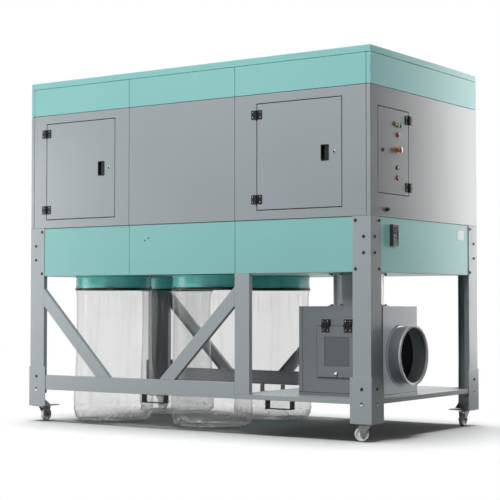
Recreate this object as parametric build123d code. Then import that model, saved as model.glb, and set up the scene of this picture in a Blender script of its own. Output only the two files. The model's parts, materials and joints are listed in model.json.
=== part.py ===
# Baghouse dust collector: a sheet steel filter housing on a leg frame with casters,
# four clear dust bags under it, and an inlet box with a round duct on a side shelf.
# Everything is placed from the housing's front left corner at floor level, in
# millimetres, then moved so that the origin lies under the middle of the object.
from build123d import *
import os

# Housing: three modules along X, the depth along Y, and heights from the floor upwards
left_module = 844.0
middle_module = 820.0
right_module = 936.0
body_depth = 1367.0
band_bottom = 955.0
band_height = 316.0
panel_height = 746.0
trim_height = 183.0
roof_height = 40.0
sheet = 3.0
corner_return = 28.0
seam = 0.6
seat = 0.3
lap = 20.0
overrun = 1.0

# Doors in the front, and the control door in the right end. Margins are from the module's
# left and right seams, or from the lower and upper band.
door_left_margins = (142.0, 120.0)
door_right_margins = (163.5, 190.5)
door_margin = 59.0
door_gap = 5.0
door_fold = 22.0
control_y = 87.0
control_width = 360.0
control_bottom_margin = 137.0
control_top_margin = 118.0
enclosure_depth = 150.0
enclosure_margin = 8.0

# Surface hinges: the axis stands in front of the sheet that they sit on
hinge_offset = 8.0
hinge_height = 54.0
hinge_reach = 38.0
hinge_leaf = 4.0
barrel_radius = 6.0
hinge_pin_radius = 3.0
hinge_play = 0.5
running_fit = 0.05
leaf_start = 7.5
door_hinge_inset = 62.0
control_hinge_inset = 47.0

# Handles and locks
pull_width = 54.0
pull_height = 93.0
pull_proud = 4.0
pull_recess = 2.5
pull_frame = 8.0
pull_from_edge = 111.0
lock_from_edge = 48.0
lock_radius = 11.0
control_lock_from_edge = 56.0

# Lamps and push buttons on the control door. Each is given by its distance from the door's
# front edge, and by its level: 0 is the lowest row, 1 is the highest row.
lowest_row = 96.0
highest_row = 82.0
red_lamp_rows = ((199.0, 1.0), (231.0, 0.8))
green_lamp_rows = ((229.0, 0.99), (266.0, 0.99))
start_row = (230.0, 0.19)
stop_row = (230.0, 0.0)
emergency_row = (229.0, 0.52)
button_radius = 9.0
button_length = 14.0
button_proud = 7.0
button_travel = 4.0
bezel_radius = 14.0
bezel_proud = 4.0
barrel_wall = 2.0
lamp_radius = 11.0
lamp_proud = 9.0
mushroom_radius = 19.0
mushroom_height = 12.0
mushroom_travel = 6.0
mushroom_clear = 11.0

# Small fittings on the right end
display_y = (226.0, 290.0)
display_below = 40.0
display_height = 125.0
display_depth = 24.0
gland_y = 185.0
gland_above = 44.0
gland_radius = 12.5
gland_proud = 16.0
plate_from_rear = 185.0
plate_width = 90.0
plate_height = 60.0
plate_sheet = 2.0

# Legs, feet and the lower frame
leg_width = 120.0
leg_sheet = 4.0
leg_return = 33.0
leg_return_bottom = 185.0
foot_bottom = 100.0
foot_height = 260.0
foot_width = 137.0
foot_sheet = 4.0
base_sheet = 6.0
gusset_reach = 50.0
gusset_height = 34.0
frame_sheet = 4.0
beam_bottom = 209.0
beam_top = 305.0
beam_depth = 30.0
post_width = 106.0
post_depth = 33.0
shelf_top = 237.0
brace_width = 81.0
brace_left_reach = 630.0
brace_right_reach = 516.0
guide_width = 176.0
guide_depth = 50.0
guide_bottom = 157.0
guide_from_left = 1040.0
guide_from_right = 628.0

# Dust bags and their collars; the bag's heights are from the floor
bag_from_left = 436.0
bag_from_post = 414.0
bag_from_side = 339.0
collar_radius = 250.0
collar_height = 93.0
clamp_height = 15.0
clamp_sheet = 3.0
bag_film = 2.5
bag_hem = 26.0
bag_waist_radius = 245.0
bag_waist_z = 560.0
bag_belly_radius = 268.0
bag_belly_z = 150.0
bag_heel_radius = 258.0
bag_heel_z = 60.0
bag_sole_radius = 214.0
bag_bottom = 10.0

# Inlet box on the shelf, its round duct and its hatch
inlet_length = 570.0
inlet_from_end = 20.0
inlet_y = (173.0, 585.0)
inlet_height = 523.0
duct_from_end = 300.0
duct_radius = 150.0
duct_flange = 32.0
spigot_above_shelf = 240.0
spigot_radius = 165.0
spigot_length = 92.0
spigot_bead = 5.0
spigot_collar = 12.0
hatch_side_margins = (132.0, 166.0)
hatch_end_margins = (110.0, 116.0)
hatch_lap = 20.0
hatch_thickness = 10.0
hatch_rest = 0.5
emboss_margin = 50.0
emboss_depth = 3.0
knob_above_edge = 21.0
knob_radius = 11.0
knob_proud = 16.0
hatch_hinge_inset = 60.0

# Swivel casters
caster_inset = 60.0
caster_plate = 4.0
wheel_radius = 40.0
wheel_width = 24.0
wheel_trail = 32.0
hub_radius = 12.0
hub_play = 0.5
axle_radius = 5.0
fork_gap = 5.0
fork_sheet = 4.0
fork_reach = 52.0
fork_back = 20.0
fork_eye = 11.0
tyre_chamfer = 2.5
crown_top = 92.0
race_radius = 18.0
swivel_pin_radius = 6.0
swivel_head_radius = 9.0
swivel_head_height = 7.0
trail_angles = {"front_left": 90.0, "front_right": 215.0, "rear_left": 0.0, "rear_right": 270.0}

# Values that follow from the ones above
seam_left = left_module
seam_right = seam_left + middle_module
body_length = seam_right + right_module
band_top = band_bottom + band_height
panel_top = band_top + panel_height
trim_top = panel_top + trim_height
roof_top = trim_top + roof_height
door_left_x = (door_left_margins[0], seam_left - door_left_margins[1])
door_right_x = (seam_right + door_right_margins[0], body_length - door_right_margins[1])
door_z = (band_top + door_margin, panel_top - door_margin)
control_y_span = (control_y, control_y + control_width)
control_z = (band_top + control_bottom_margin, panel_top - control_top_margin)
panel_z = (band_top + seam / 2, panel_top - seam / 2)
trim_z = (panel_top + seam / 2, trim_top - seam / 2)
display_z = (band_top - display_below - display_height, band_top - display_below)
plate_y = (body_depth - plate_from_rear - plate_width, body_depth - plate_from_rear)
plate_z = (display_z[1] - plate_height, display_z[1])
guide_centres = (guide_from_left, body_length - guide_from_right)
bag_x = (bag_from_left, seam_right - bag_from_post)
bag_y = (bag_from_side, body_depth - bag_from_side)
collar_bottom = band_bottom - collar_height
inlet_x = (body_length - inlet_from_end - inlet_length, body_length - inlet_from_end)
inlet_top = shelf_top + inlet_height
inlet_mid_y = sum(inlet_y) / 2
duct_x = body_length - duct_from_end
spigot_z = shelf_top + spigot_above_shelf
spigot_end = inlet_x[1] + spigot_length
hatch_x = (inlet_x[0] + hatch_side_margins[0], inlet_x[1] - hatch_side_margins[1])
hatch_z = (shelf_top + hatch_end_margins[0], inlet_top - hatch_end_margins[1])
sleeve_out = seat + foot_sheet
bag_neck_radius = collar_radius + seat + bag_film
mid_length = Plane((body_length / 2, 0, 0), z_dir=(1, 0, 0))
mid_depth = Plane((0, body_depth / 2, 0), z_dir=(0, 1, 0))
low_x = -sleeve_out
low_y = -hinge_offset - barrel_radius
high_y = body_depth + sleeve_out
to_origin = Pos(-(low_x + spigot_end) / 2, -(low_y + high_y) / 2, 0)


def block(x, y, z):
    """A box between a low and a high value on each axis."""
    middle = Pos((x[0] + x[1]) / 2, (y[0] + y[1]) / 2, (z[0] + z[1]) / 2)
    return middle * Box(x[1] - x[0], y[1] - y[0], z[1] - z[0])


def rod(radius, start, axis, length):
    """A round bar from a start point along an axis."""
    return extrude(Plane(start, z_dir=axis) * Circle(radius), length)


def tube(outer, inner, start, axis, length):
    """A round pipe from a start point along an axis."""
    return rod(outer, start, axis, length) - rod(inner, start, axis, length)


def grown(span, by):
    """A low and high value moved apart at both ends."""
    return (span[0] - by, span[1] + by)


def both_sides(piece):
    """A front piece and its copy at the rear."""
    return [piece, mirror(piece, about=mid_depth)]


def four_corners(piece):
    """The front left piece and its copies at the other three corners."""
    pair = [piece, mirror(piece, about=mid_length)]
    return [copy for one in pair for copy in both_sides(one)]


def write(name, *pieces):
    """Moves the pieces of one node to the object's origin and saves them."""
    moved = [to_origin * solid for piece in pieces for solid in piece.solids()]
    shape = moved[0] if len(moved) == 1 else Compound(moved)
    export_step(shape, f"parts/{name}.step")


# Housing sheets

def wall_spans():
    """The three modules along X, with a seam between them and the corner returns."""
    edges = (corner_return, seam_left, seam_right, body_length - corner_return)
    return [grown(pair, -seam / 2) for pair in zip(edges, edges[1:])]


def front_sheet(x, z):
    return block(x, (0, sheet), z)


def end_sheet(z):
    """A left end sheet with its returns folded round the front and rear corners."""
    outside = block((0, corner_return - seam / 2), (0, body_depth), z)
    inside = block((sheet, corner_return), (sheet, body_depth - sheet), z)
    return outside - inside


def door_opening(x):
    """The doorway cut through a front panel."""
    return block(grown(x, door_gap), (-sheet, 2 * sheet), grown(door_z, door_gap))


left_span, middle_span, right_span = wall_spans()


def roof_cap():
    whole = block((0, body_length), (0, body_depth), (trim_top, roof_top))
    hollow = block((sheet, body_length - sheet), (sheet, body_depth - sheet), (trim_top, roof_top - sheet))
    return whole - hollow


def upper_band():
    fronts = [front_sheet(span, trim_z) for span in wall_spans()]
    ends = [end_sheet(trim_z), mirror(end_sheet(trim_z), about=mid_length)]
    return [copy for one in fronts for copy in both_sides(one)] + ends


def lower_band():
    """Four walls just inside the leg faces, lapped behind the panels above."""
    out = leg_sheet + seat
    z = (band_bottom, band_top + lap)
    outside = block((out, body_length - out), (out, body_depth - out), z)
    inset = out + sheet
    return outside - block((inset, body_length - inset), (inset, body_depth - inset), z)


def hopper_floor():
    """Three floor sheets with the bag outlets and the duct hole."""
    edge = leg_sheet + seat + sheet + seat
    edges = (edge - seam / 2, seam_left, seam_right, body_length - edge + seam / 2)
    y = (edge, body_depth - edge)
    z = (band_bottom, band_bottom + sheet)
    under = band_bottom - overrun
    deep = sheet + 2 * overrun
    holes = [rod(collar_radius - sheet, (x, yy, under), (0, 0, 1), deep) for x in bag_x for yy in bag_y]
    holes.append(rod(duct_radius - sheet, (duct_x, inlet_mid_y, under), (0, 0, 1), deep))
    return [block(grown(pair, -seam / 2), y, z) - holes for pair in zip(edges, edges[1:])]


def control_enclosure():
    """The box behind the control door, open towards it."""
    y = grown(control_y_span, enclosure_margin)
    z = grown(control_z, enclosure_margin)
    front = body_length - sheet - seat
    back = front - enclosure_depth
    inside = block((back + sheet, front + overrun), grown(y, -sheet), grown(z, -sheet))
    return block((back, front), y, z) - inside


# Hinges. Each is made with its axis on Z through the origin, the sheet that it
# sits on at y = hinge_offset, and the moving leaf on the +X side.

def hinge_level(part):
    """Heights of the three barrel pieces: 0 and 2 are fixed, 1 moves."""
    third = hinge_height / 3
    low = -hinge_height / 2 + part * third
    return (low + hinge_play / 2 * (part > 0), low + third - hinge_play / 2 * (part < 2))


def leaf(side, levels, packing):
    """One hinge leaf with its barrels; packing is how far the leaf stands back."""
    sit = (hinge_offset - seat - hinge_leaf, hinge_offset - seat + packing)
    half = (-hinge_height / 2, hinge_height / 2)
    shape = block(sorted((side * leaf_start, side * hinge_reach)), sit, half)
    arm_y = (hinge_offset - seat - hinge_leaf, hinge_offset - seat)
    for level in levels:
        z = hinge_level(level)
        shape += block(sorted((0, side * leaf_start)), arm_y, z)
        shape += rod(barrel_radius, (0, 0, z[0]), (0, 0, 1), z[1] - z[0])
    return shape


def hinge_fixed(packing=0.0):
    pin = rod(hinge_pin_radius, (0, 0, -hinge_height / 2), (0, 0, 1), hinge_height)
    return leaf(-1, (0, 2), packing) + pin


def hinge_moving():
    bore = rod(hinge_pin_radius + running_fit, (0, 0, -hinge_height), (0, 0, 1), 2 * hinge_height)
    return leaf(1, (1,), 0.0) - bore


def door_hinge_places(x):
    """Front door hinges: the axis is in the middle of the gap at the door's left edge."""
    return [Pos(x[0] - door_gap / 2, -hinge_offset, z) for z in grown(door_z, -door_hinge_inset)]


def control_hinge_places():
    """Control door hinges, at its rear edge, turned so that the door side faces the front."""
    y = control_y_span[1] + door_gap / 2
    return [Pos(body_length + hinge_offset, y, z) * Rot(0, 0, 90) * Rot(0, 180, 0)
            for z in grown(control_z, -control_hinge_inset)]


def hatch_hinge_places():
    """Hatch hinges, lying along X over its top edge."""
    y = inlet_y[0] - hatch_rest - hatch_thickness - hinge_offset
    z = hatch_z[1] + door_gap / 2
    return [Pos(x, y, z) * Rot(0, 90, 0) for x in grown(hatch_x, -hatch_hinge_inset)]


def fixed_leaves():
    doors = door_hinge_places(door_left_x) + door_hinge_places(door_right_x)
    plain = [place * hinge_fixed() for place in doors + control_hinge_places()]
    packing = hatch_rest + hatch_thickness
    return plain + [place * hinge_fixed(packing) for place in hatch_hinge_places()]


# Doors

def front_door(x):
    """A flush door: a skin with its edges folded inwards."""
    skin = block(x, (0, door_fold), door_z)
    return skin - block(grown(x, -sheet), (sheet, door_fold), grown(door_z, -sheet))


def front_door_fittings(x):
    """Moving hinge leaves, the flush pull and the lock of one front door."""
    middle = sum(door_z) / 2
    pull_x = x[1] - pull_from_edge
    span_x = (pull_x - pull_width / 2, pull_x + pull_width / 2)
    span_z = (middle - pull_height / 2, middle + pull_height / 2)
    pull = block(span_x, (-seat - pull_proud, -seat), span_z)
    recess_y = (-seat - pull_proud, -seat - pull_proud + pull_recess)
    pull -= block(grown(span_x, -pull_frame), recess_y, grown(span_z, -pull_frame))
    lock = rod(lock_radius, (x[1] - lock_from_edge, -seat, middle), (0, -1, 0), pull_proud)
    return [place * hinge_moving() for place in door_hinge_places(x)] + [pull, lock]


def on_control_door(row):
    """Where a lamp or button sits on the control door, as (y, z)."""
    from_front, level = row
    low, high = control_z[0] + lowest_row, control_z[1] - highest_row
    return (control_y + from_front, low + level * (high - low))


start_place, stop_place, emergency_place = map(on_control_door, (start_row, stop_row, emergency_row))


def bezel(place, radius):
    """A button's collar on the door and its guide, which runs through the door sheet."""
    y, z = place
    face = body_length + seat
    guide = radius + running_fit + barrel_wall
    back = body_length - door_fold
    ring = rod(bezel_radius, (face, y, z), (1, 0, 0), bezel_proud)
    ring += rod(guide, (back, y, z), (1, 0, 0), face + overrun - back)
    return ring - rod(radius + running_fit, (back + barrel_wall, y, z), (1, 0, 0), 2 * door_fold)


def control_door():
    """The control door's skin and folds, drilled for the button guides."""
    x = (body_length - door_fold, body_length)
    skin = block(x, control_y_span, control_z)
    skin -= block((x[0], x[1] - sheet), grown(control_y_span, -sheet), grown(control_z, -sheet))
    hole = button_radius + running_fit + barrel_wall + seat
    for y, z in (start_place, stop_place, emergency_place):
        skin -= rod(hole, (x[0], y, z), (1, 0, 0), 2 * door_fold)
    return skin


def control_door_fittings():
    """Moving hinge leaves, button guides and the lock of the control door."""
    leaves = [place * hinge_moving() for place in control_hinge_places()]
    guides = [bezel(place, button_radius) for place in (start_place, stop_place, emergency_place)]
    lock_y = control_y + control_lock_from_edge
    lock = rod(lock_radius, (body_length + seat, lock_y, sum(control_z) / 2), (1, 0, 0), pull_proud)
    return leaves + guides + [lock]


def button(place):
    y, z = place
    tip = body_length + seat + button_proud
    return rod(button_radius, (tip - button_length, y, z), (1, 0, 0), button_length)


def emergency_button():
    """A mushroom head on a stem that runs in the same guide as the other buttons."""
    y, z = emergency_place
    under = body_length + seat + bezel_proud + mushroom_clear
    stem_length = button_length + mushroom_clear
    stem = rod(button_radius, (under - stem_length, y, z), (1, 0, 0), stem_length + overrun)
    head = rod(mushroom_radius, (under, y, z), (1, 0, 0), mushroom_height)
    head = fillet(head.edges().sort_by(Axis.X)[-1], mushroom_height / 3)
    return stem + head


def lamps(rows):
    places = [on_control_door(row) for row in rows]
    return [rod(lamp_radius, (body_length + seat, y, z), (1, 0, 0), lamp_proud) for y, z in places]


# Small fittings on the right end, which sit on the lower band and the end panel

def display_unit():
    face = body_length - leg_sheet
    return block((face, face + display_depth), display_y, display_z)


def end_fittings():
    """A cable gland on the end panel and a bare plate on the lower band."""
    gland = rod(gland_radius, (body_length + seat, gland_y, band_top + gland_above), (1, 0, 0), gland_proud)
    face = body_length - leg_sheet
    return [gland, block((face, face + plate_sheet), plate_y, plate_z)]


# Leg frame

def leg():
    """A folded corner leg with a return along each free edge below the housing."""
    z = (foot_bottom + base_sheet + seat, band_top - seam / 2)
    return_z = (leg_return_bottom, band_bottom - seat)
    shape = block((0, leg_width), (0, leg_sheet), z) + block((0, leg_sheet), (0, leg_width), z)
    shape += block((leg_width - leg_sheet, leg_width), (0, leg_return), return_z)
    shape += block((0, leg_return), (leg_width - leg_sheet, leg_width), return_z)
    return shape


def foot():
    """The sleeve round a leg's bottom, its base plate, gussets and caster pin."""
    z = (foot_bottom, foot_bottom + foot_height)
    outer = (-sleeve_out, foot_width)
    shape = block(outer, (-sleeve_out, -seat), z) + block((-sleeve_out, -seat), outer, z)
    shape += block(outer, outer, (foot_bottom, foot_bottom + base_sheet))
    base_top = foot_bottom + base_sheet
    tip = base_top + gusset_height
    wedge = Polyline((-seat, base_top), (gusset_reach, base_top), (-seat, tip), close=True)
    end = foot_width - foot_sheet
    face_x = Plane((end, 0, 0), x_dir=(0, 1, 0), z_dir=(1, 0, 0)) * make_face(wedge)
    face_y = Plane((0, foot_width, 0), x_dir=(1, 0, 0), z_dir=(0, -1, 0)) * make_face(wedge)
    along_y, along_x = extrude(face_x, foot_sheet), extrude(face_y, foot_sheet)
    shape += along_y + along_x
    plate_bottom = foot_bottom - caster_plate
    plate = grown((caster_inset, caster_inset), caster_inset - 3 * leg_sheet)
    shape += block(plate, plate, (plate_bottom, foot_bottom))
    head_top = crown_top - fork_sheet - hub_play
    axis = (caster_inset, caster_inset)
    pin_length = plate_bottom - head_top + 2 * overrun
    shape += rod(swivel_pin_radius, (*axis, head_top - overrun), (0, 0, 1), pin_length)
    shape += rod(swivel_head_radius, (*axis, head_top - swivel_head_height), (0, 0, 1), swivel_head_height)
    return shape


def channel_x(x, z, depth):
    """A channel along X with its face to the front and its flanges folded back."""
    inner = block(x, (frame_sheet, depth + overrun), grown(z, -frame_sheet))
    return block(x, (0, depth), z) - inner


def bottom_beam():
    return channel_x((leg_width + seat, seam_right - seat), (beam_bottom, beam_top), beam_depth)


def mid_post():
    x = (seam_right, seam_right + post_width)
    z = (shelf_top + seat, band_bottom - seat)
    inner = block(grown(x, -frame_sheet), (frame_sheet, post_depth + overrun), z)
    return block(x, (0, post_depth), z) - inner


def brace(foot_x, side):
    """A sloping channel at 45 degrees from the beam up to the leg or post on its side."""
    z0 = beam_top + seat
    span = 2 * (band_bottom - beam_bottom)
    bar = channel_x((-span, span), (-brace_width / 2, brace_width / 2), beam_depth)
    bar = Pos(foot_x, 0, beam_top) * Rot(0, -side * 45, 0) * bar
    room_x = (leg_width + seat, seam_right - seat)
    room = block(room_x, grown((0, beam_depth), overrun), (z0, band_bottom - seat))
    return bar & room


def braces():
    return [brace(brace_left_reach, -1), brace(seam_right - brace_right_reach, 1)]


def shelf():
    """A tray with its edges folded down, notched round the right legs."""
    x = (seam_right, body_length)
    y = (0, body_depth)
    z = (beam_bottom, shelf_top)
    tray = block(x, y, z)
    tray -= block(grown(x, -frame_sheet), grown(y, -frame_sheet), (z[0], z[1] - frame_sheet))
    cut_x = (body_length - leg_width - seat, body_length + overrun)
    notch = block(cut_x, (-overrun, leg_width + seat), grown(z, overrun))
    for cut in both_sides(notch):
        tray -= cut
    return tray


def fork_guide(x):
    """A folded U under the frame that a pallet truck's fork passes through."""
    span = (x - guide_width / 2, x + guide_width / 2)
    z = (guide_bottom, beam_bottom - seat)
    inner_z = (z[0] + frame_sheet, z[1] + overrun)
    inner = block(grown(span, -frame_sheet), grown((0, guide_depth), overrun), inner_z)
    return block(span, (0, guide_depth), z) - inner


# Dust bags

def collar(x, y):
    start = (x, y, collar_bottom)
    return tube(collar_radius, collar_radius - sheet, start, (0, 0, 1), band_bottom - seat - collar_bottom)


def clamp(x, y):
    inner = bag_neck_radius + seat
    return tube(inner + clamp_sheet, inner, (x, y, collar_bottom), (0, 0, 1), clamp_height)


def bag(x, y):
    """A film bag: an open neck over the collar, a slim waist, a wide belly and a flat sole."""
    outer = [(bag_neck_radius, collar_bottom + bag_hem), (bag_neck_radius, collar_bottom - clamp_height),
             (bag_waist_radius, bag_waist_z), (bag_belly_radius, bag_belly_z),
             (bag_heel_radius, bag_heel_z), (bag_sole_radius, bag_bottom)]
    inner = [(radius - bag_film, height) for radius, height in outer[:-1]]
    inner.append((bag_sole_radius - bag_film, bag_bottom + bag_film))
    section = outer + [(0, bag_bottom), (0, bag_bottom + bag_film)] + inner[::-1]
    return Pos(x, y, 0) * revolve(Plane.XZ * make_face(Polyline(*section, close=True)), Axis.Z)


# Inlet box and duct

def inlet_box():
    z = (shelf_top + seat, inlet_top)
    shell = block(inlet_x, inlet_y, z)
    shell -= block(grown(inlet_x, -sheet), grown(inlet_y, -sheet), grown(z, -sheet))
    through = grown((inlet_y[0], inlet_y[0]), 2 * sheet)
    shell -= block(grown(hatch_x, -hatch_lap), through, grown(hatch_z, -hatch_lap))
    shell -= rod(duct_radius - sheet, (duct_x, inlet_mid_y, inlet_top - 2 * sheet), (0, 0, 1), 3 * sheet)
    spigot_start = (inlet_x[1] - 2 * sheet, inlet_mid_y, spigot_z)
    shell -= rod(spigot_radius - sheet, spigot_start, (1, 0, 0), 3 * sheet)
    return shell


def inlet_spigot():
    """The round inlet, with a collar on the box and a rolled bead at its mouth."""
    start = (inlet_x[1] + seat, inlet_mid_y, spigot_z)
    length = spigot_end - start[0]
    bore = spigot_radius - sheet
    shape = rod(spigot_radius, start, (1, 0, 0), length)
    shape += rod(spigot_radius + spigot_collar, start, (1, 0, 0), sheet)
    mouth = (spigot_end - 2 * spigot_bead, inlet_mid_y, spigot_z)
    bead = rod(spigot_radius + spigot_bead, mouth, (1, 0, 0), 2 * spigot_bead)
    shape += fillet(bead.edges().filter_by(GeomType.CIRCLE), spigot_bead - 1)
    return shape - rod(bore, start, (1, 0, 0), length)


def riser_duct():
    """The upright duct from the inlet box to the hopper floor, with bolted flanges."""
    low, high = inlet_top + seat, band_bottom - seat
    centre = (duct_x, inlet_mid_y)
    shape = rod(duct_radius, (*centre, low), (0, 0, 1), high - low)
    for z in (low, high - frame_sheet):
        shape += rod(duct_radius + duct_flange, (*centre, z), (0, 0, 1), frame_sheet)
    return shape - rod(duct_radius - sheet, (*centre, low), (0, 0, 1), high - low)


def inlet_hatch():
    """The clean-out hatch with an embossed square, hung over its opening."""
    back = inlet_y[0] - hatch_rest
    front = back - hatch_thickness
    plate = block(hatch_x, (front, back), hatch_z)
    recess_z = grown(hatch_z, -1.25 * emboss_margin)
    recess = block(grown(hatch_x, -emboss_margin), (front, front + emboss_depth), recess_z)
    return plate - recess


def hatch_fittings():
    """Moving hinge leaves and the knob of the hatch."""
    face = inlet_y[0] - hatch_rest - hatch_thickness - seat
    knob = rod(knob_radius, (sum(hatch_x) / 2, face, hatch_z[0] + knob_above_edge), (0, -1, 0), knob_proud)
    return [place * hinge_moving() for place in hatch_hinge_places()] + [knob]


# Casters. Each is made with its swivel axis on Z and its wheel trailing along +X.

def caster_fork():
    """Crown, race, two cheeks and axle."""
    inside = wheel_width / 2 + fork_gap
    outside = inside + fork_sheet
    crown_z = (crown_top - fork_sheet, crown_top)
    shape = block((-fork_back, fork_reach), (-outside, outside), crown_z)
    race_top = foot_bottom - caster_plate - hub_play
    shape += rod(race_radius, (0, 0, crown_top - overrun), (0, 0, 1), race_top - crown_top + overrun)
    corners = [(-fork_back, crown_top), (fork_reach, crown_top)]
    corners += [(wheel_trail + fork_eye, wheel_radius), (wheel_trail - fork_eye, wheel_radius)]
    cheek = Polyline(*corners, close=True)
    cheek_face = Plane.XZ * make_face(cheek)
    eye = Plane.XZ * Pos(wheel_trail, wheel_radius) * Circle(fork_eye)
    for y in (-inside, outside):
        shape += Pos(0, y, 0) * (extrude(cheek_face, fork_sheet) + extrude(eye, fork_sheet))
    axle_half = outside + fork_sheet
    shape += rod(axle_radius, (wheel_trail, -axle_half, wheel_radius), (0, 1, 0), 2 * axle_half)
    return shape - rod(swivel_pin_radius + running_fit, (0, 0, 0), (0, 0, 1), foot_bottom)


def caster_wheel():
    """A solid wheel with bevelled edges and a hub that runs on the axle."""
    start = (wheel_trail, -wheel_width / 2, wheel_radius)
    tyre = rod(wheel_radius, start, (0, 1, 0), wheel_width)
    tyre = chamfer(tyre.edges().filter_by(GeomType.CIRCLE), tyre_chamfer)
    hub_half = wheel_width / 2 + fork_gap - hub_play
    hub_start = (wheel_trail, -hub_half, wheel_radius)
    hub = rod(hub_radius, hub_start, (0, 1, 0), 2 * hub_half)
    return tyre + hub - rod(axle_radius + running_fit, hub_start, (0, 1, 0), 2 * hub_half)


def caster_places():
    """Each caster's name and place, turned to its trail direction."""
    far_x = body_length - caster_inset
    far_y = body_depth - caster_inset
    corners = {"front_left": (caster_inset, caster_inset), "front_right": (far_x, caster_inset),
               "rear_left": (caster_inset, far_y), "rear_right": (far_x, far_y)}
    return {name: Pos(*corner, 0) * Rot(0, 0, trail_angles[name]) for name, corner in corners.items()}


os.makedirs("parts", exist_ok=True)

write("roof_cap", roof_cap())
write("upper_band", *upper_band())
write("front_panel_left", front_sheet(left_span, panel_z) - door_opening(door_left_x))
write("front_panel_middle", front_sheet(middle_span, panel_z))
write("front_panel_right", front_sheet(right_span, panel_z) - door_opening(door_right_x))
write("rear_panels", *[mirror(front_sheet(span, panel_z), about=mid_depth) for span in wall_spans()])
write("end_panel_left", end_sheet(panel_z))
doorway_x = (body_length - 2 * sheet, body_length + sheet)
doorway = block(doorway_x, grown(control_y_span, door_gap), grown(control_z, door_gap))
write("end_panel_right", mirror(end_sheet(panel_z), about=mid_length) - doorway)
write("lower_band", lower_band())
write("hopper_floor", *hopper_floor())
write("control_enclosure", control_enclosure())
write("hinge_leaves", *fixed_leaves())
write("display_unit", display_unit())
write("end_fittings", *end_fittings())

for name, x in (("door_left", door_left_x), ("door_right", door_right_x)):
    write(name, front_door(x))
    write(f"{name}_fittings", *front_door_fittings(x))
write("control_door", control_door())
write("control_door_fittings", *control_door_fittings())
write("red_lamps", *lamps(red_lamp_rows))
write("green_lamps", *lamps(green_lamp_rows))
write("start_button", button(start_place))
write("stop_button", button(stop_place))
write("emergency_button", emergency_button())

front_left_leg, rear_left_leg, front_right_leg, rear_right_leg = four_corners(leg())
write("front_legs", front_left_leg, front_right_leg)
write("rear_legs", rear_left_leg, rear_right_leg)
write("leg_feet", *four_corners(foot()))
write("bottom_beams", *both_sides(bottom_beam()))
write("mid_posts", *both_sides(mid_post()))
write("front_braces", *braces())
write("rear_braces", *[mirror(bar, about=mid_depth) for bar in braces()])
write("shelf", shelf())
write("fork_guides", *[guide for x in guide_centres for guide in both_sides(fork_guide(x))])

bag_centres = [(x, y) for y in bag_y for x in bag_x]
write("bag_collars", *[collar(x, y) for x, y in bag_centres])
write("bag_clamps", *[clamp(x, y) for x, y in bag_centres])
for number, (x, y) in enumerate(bag_centres, start=1):
    write(f"dust_bag_{number}", bag(x, y))

write("inlet_box", inlet_box())
write("inlet_spigot", inlet_spigot())
write("riser_duct", riser_duct())
write("inlet_hatch", inlet_hatch())
write("hatch_fittings", *hatch_fittings())

for name, place in caster_places().items():
    write(f"caster_fork_{name}", place * caster_fork())
    write(f"caster_wheel_{name}", place * caster_wheel())
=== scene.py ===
import json
from math import cos, pi, radians, sin

import bmesh
import bpy
import numpy as np
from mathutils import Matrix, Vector

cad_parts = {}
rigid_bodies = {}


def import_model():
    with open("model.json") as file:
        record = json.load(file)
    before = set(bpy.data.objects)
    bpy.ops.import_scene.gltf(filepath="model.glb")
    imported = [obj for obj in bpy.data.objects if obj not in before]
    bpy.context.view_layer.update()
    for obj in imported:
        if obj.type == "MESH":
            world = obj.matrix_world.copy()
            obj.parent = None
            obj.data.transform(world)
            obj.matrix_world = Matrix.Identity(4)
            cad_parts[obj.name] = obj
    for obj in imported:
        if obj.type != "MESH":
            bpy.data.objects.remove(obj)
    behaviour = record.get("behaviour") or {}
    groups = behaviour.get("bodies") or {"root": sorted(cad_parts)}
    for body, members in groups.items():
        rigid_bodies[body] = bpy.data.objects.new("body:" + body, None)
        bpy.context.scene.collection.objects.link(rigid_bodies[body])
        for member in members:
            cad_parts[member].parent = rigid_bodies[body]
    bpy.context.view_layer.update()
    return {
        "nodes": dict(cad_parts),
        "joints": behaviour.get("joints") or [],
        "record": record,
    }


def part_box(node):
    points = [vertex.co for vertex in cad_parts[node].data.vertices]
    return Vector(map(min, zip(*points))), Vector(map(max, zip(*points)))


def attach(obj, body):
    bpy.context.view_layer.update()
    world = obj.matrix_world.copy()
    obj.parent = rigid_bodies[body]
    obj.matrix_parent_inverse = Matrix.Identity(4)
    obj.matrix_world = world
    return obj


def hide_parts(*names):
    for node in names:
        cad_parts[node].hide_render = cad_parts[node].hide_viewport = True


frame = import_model()
print("frame loaded")

# Places are given from the housing's front left corner at floor level, in metres
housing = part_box("roof_cap")
plan = {
    "length": housing[1].x - housing[0].x,
    "depth": housing[1].y - housing[0].y,
    "seams": (0.844, 1.664),
    "cornerReturn": 0.028,
    "bandBottom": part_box("hopper_floor")[0].z,
    "bandTop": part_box("end_panel_left")[0].z,
    "panelTop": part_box("end_panel_left")[1].z,
    "trimTop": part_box("roof_cap")[0].z,
    "roofTop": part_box("roof_cap")[1].z,
}
bodyOf = {node: body for body, nodes in frame["record"]["behaviour"]["bodies"].items() for node in nodes}

# Right, up and outwards on each side of the machine
sides = {
    "front": ((1, 0, 0), (0, 0, 1), (0, -1, 0)),
    "right": ((0, 1, 0), (0, 0, 1), (1, 0, 0)),
    "rear": ((-1, 0, 0), (0, 0, 1), (0, 1, 0)),
    "left": ((0, -1, 0), (0, 0, 1), (-1, 0, 0)),
    "top": ((1, 0, 0), (0, 1, 0), (0, 0, 1)),
    "bottom": ((1, 0, 0), (0, -1, 0), (0, 0, -1)),
    "hatch": ((0, 0, -1), (1, 0, 0), (0, -1, 0)),
}


def at(x, y, z):
    return np.array((housing[0].x + x, housing[0].y + y, z))


# Camera, at the photograph's place and lens
cameraSettings = {"place": at(6.4903, -6.8135, 0.7847), "tilt": 92.137, "turn": 34.678, "lens": 100.46}


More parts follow.
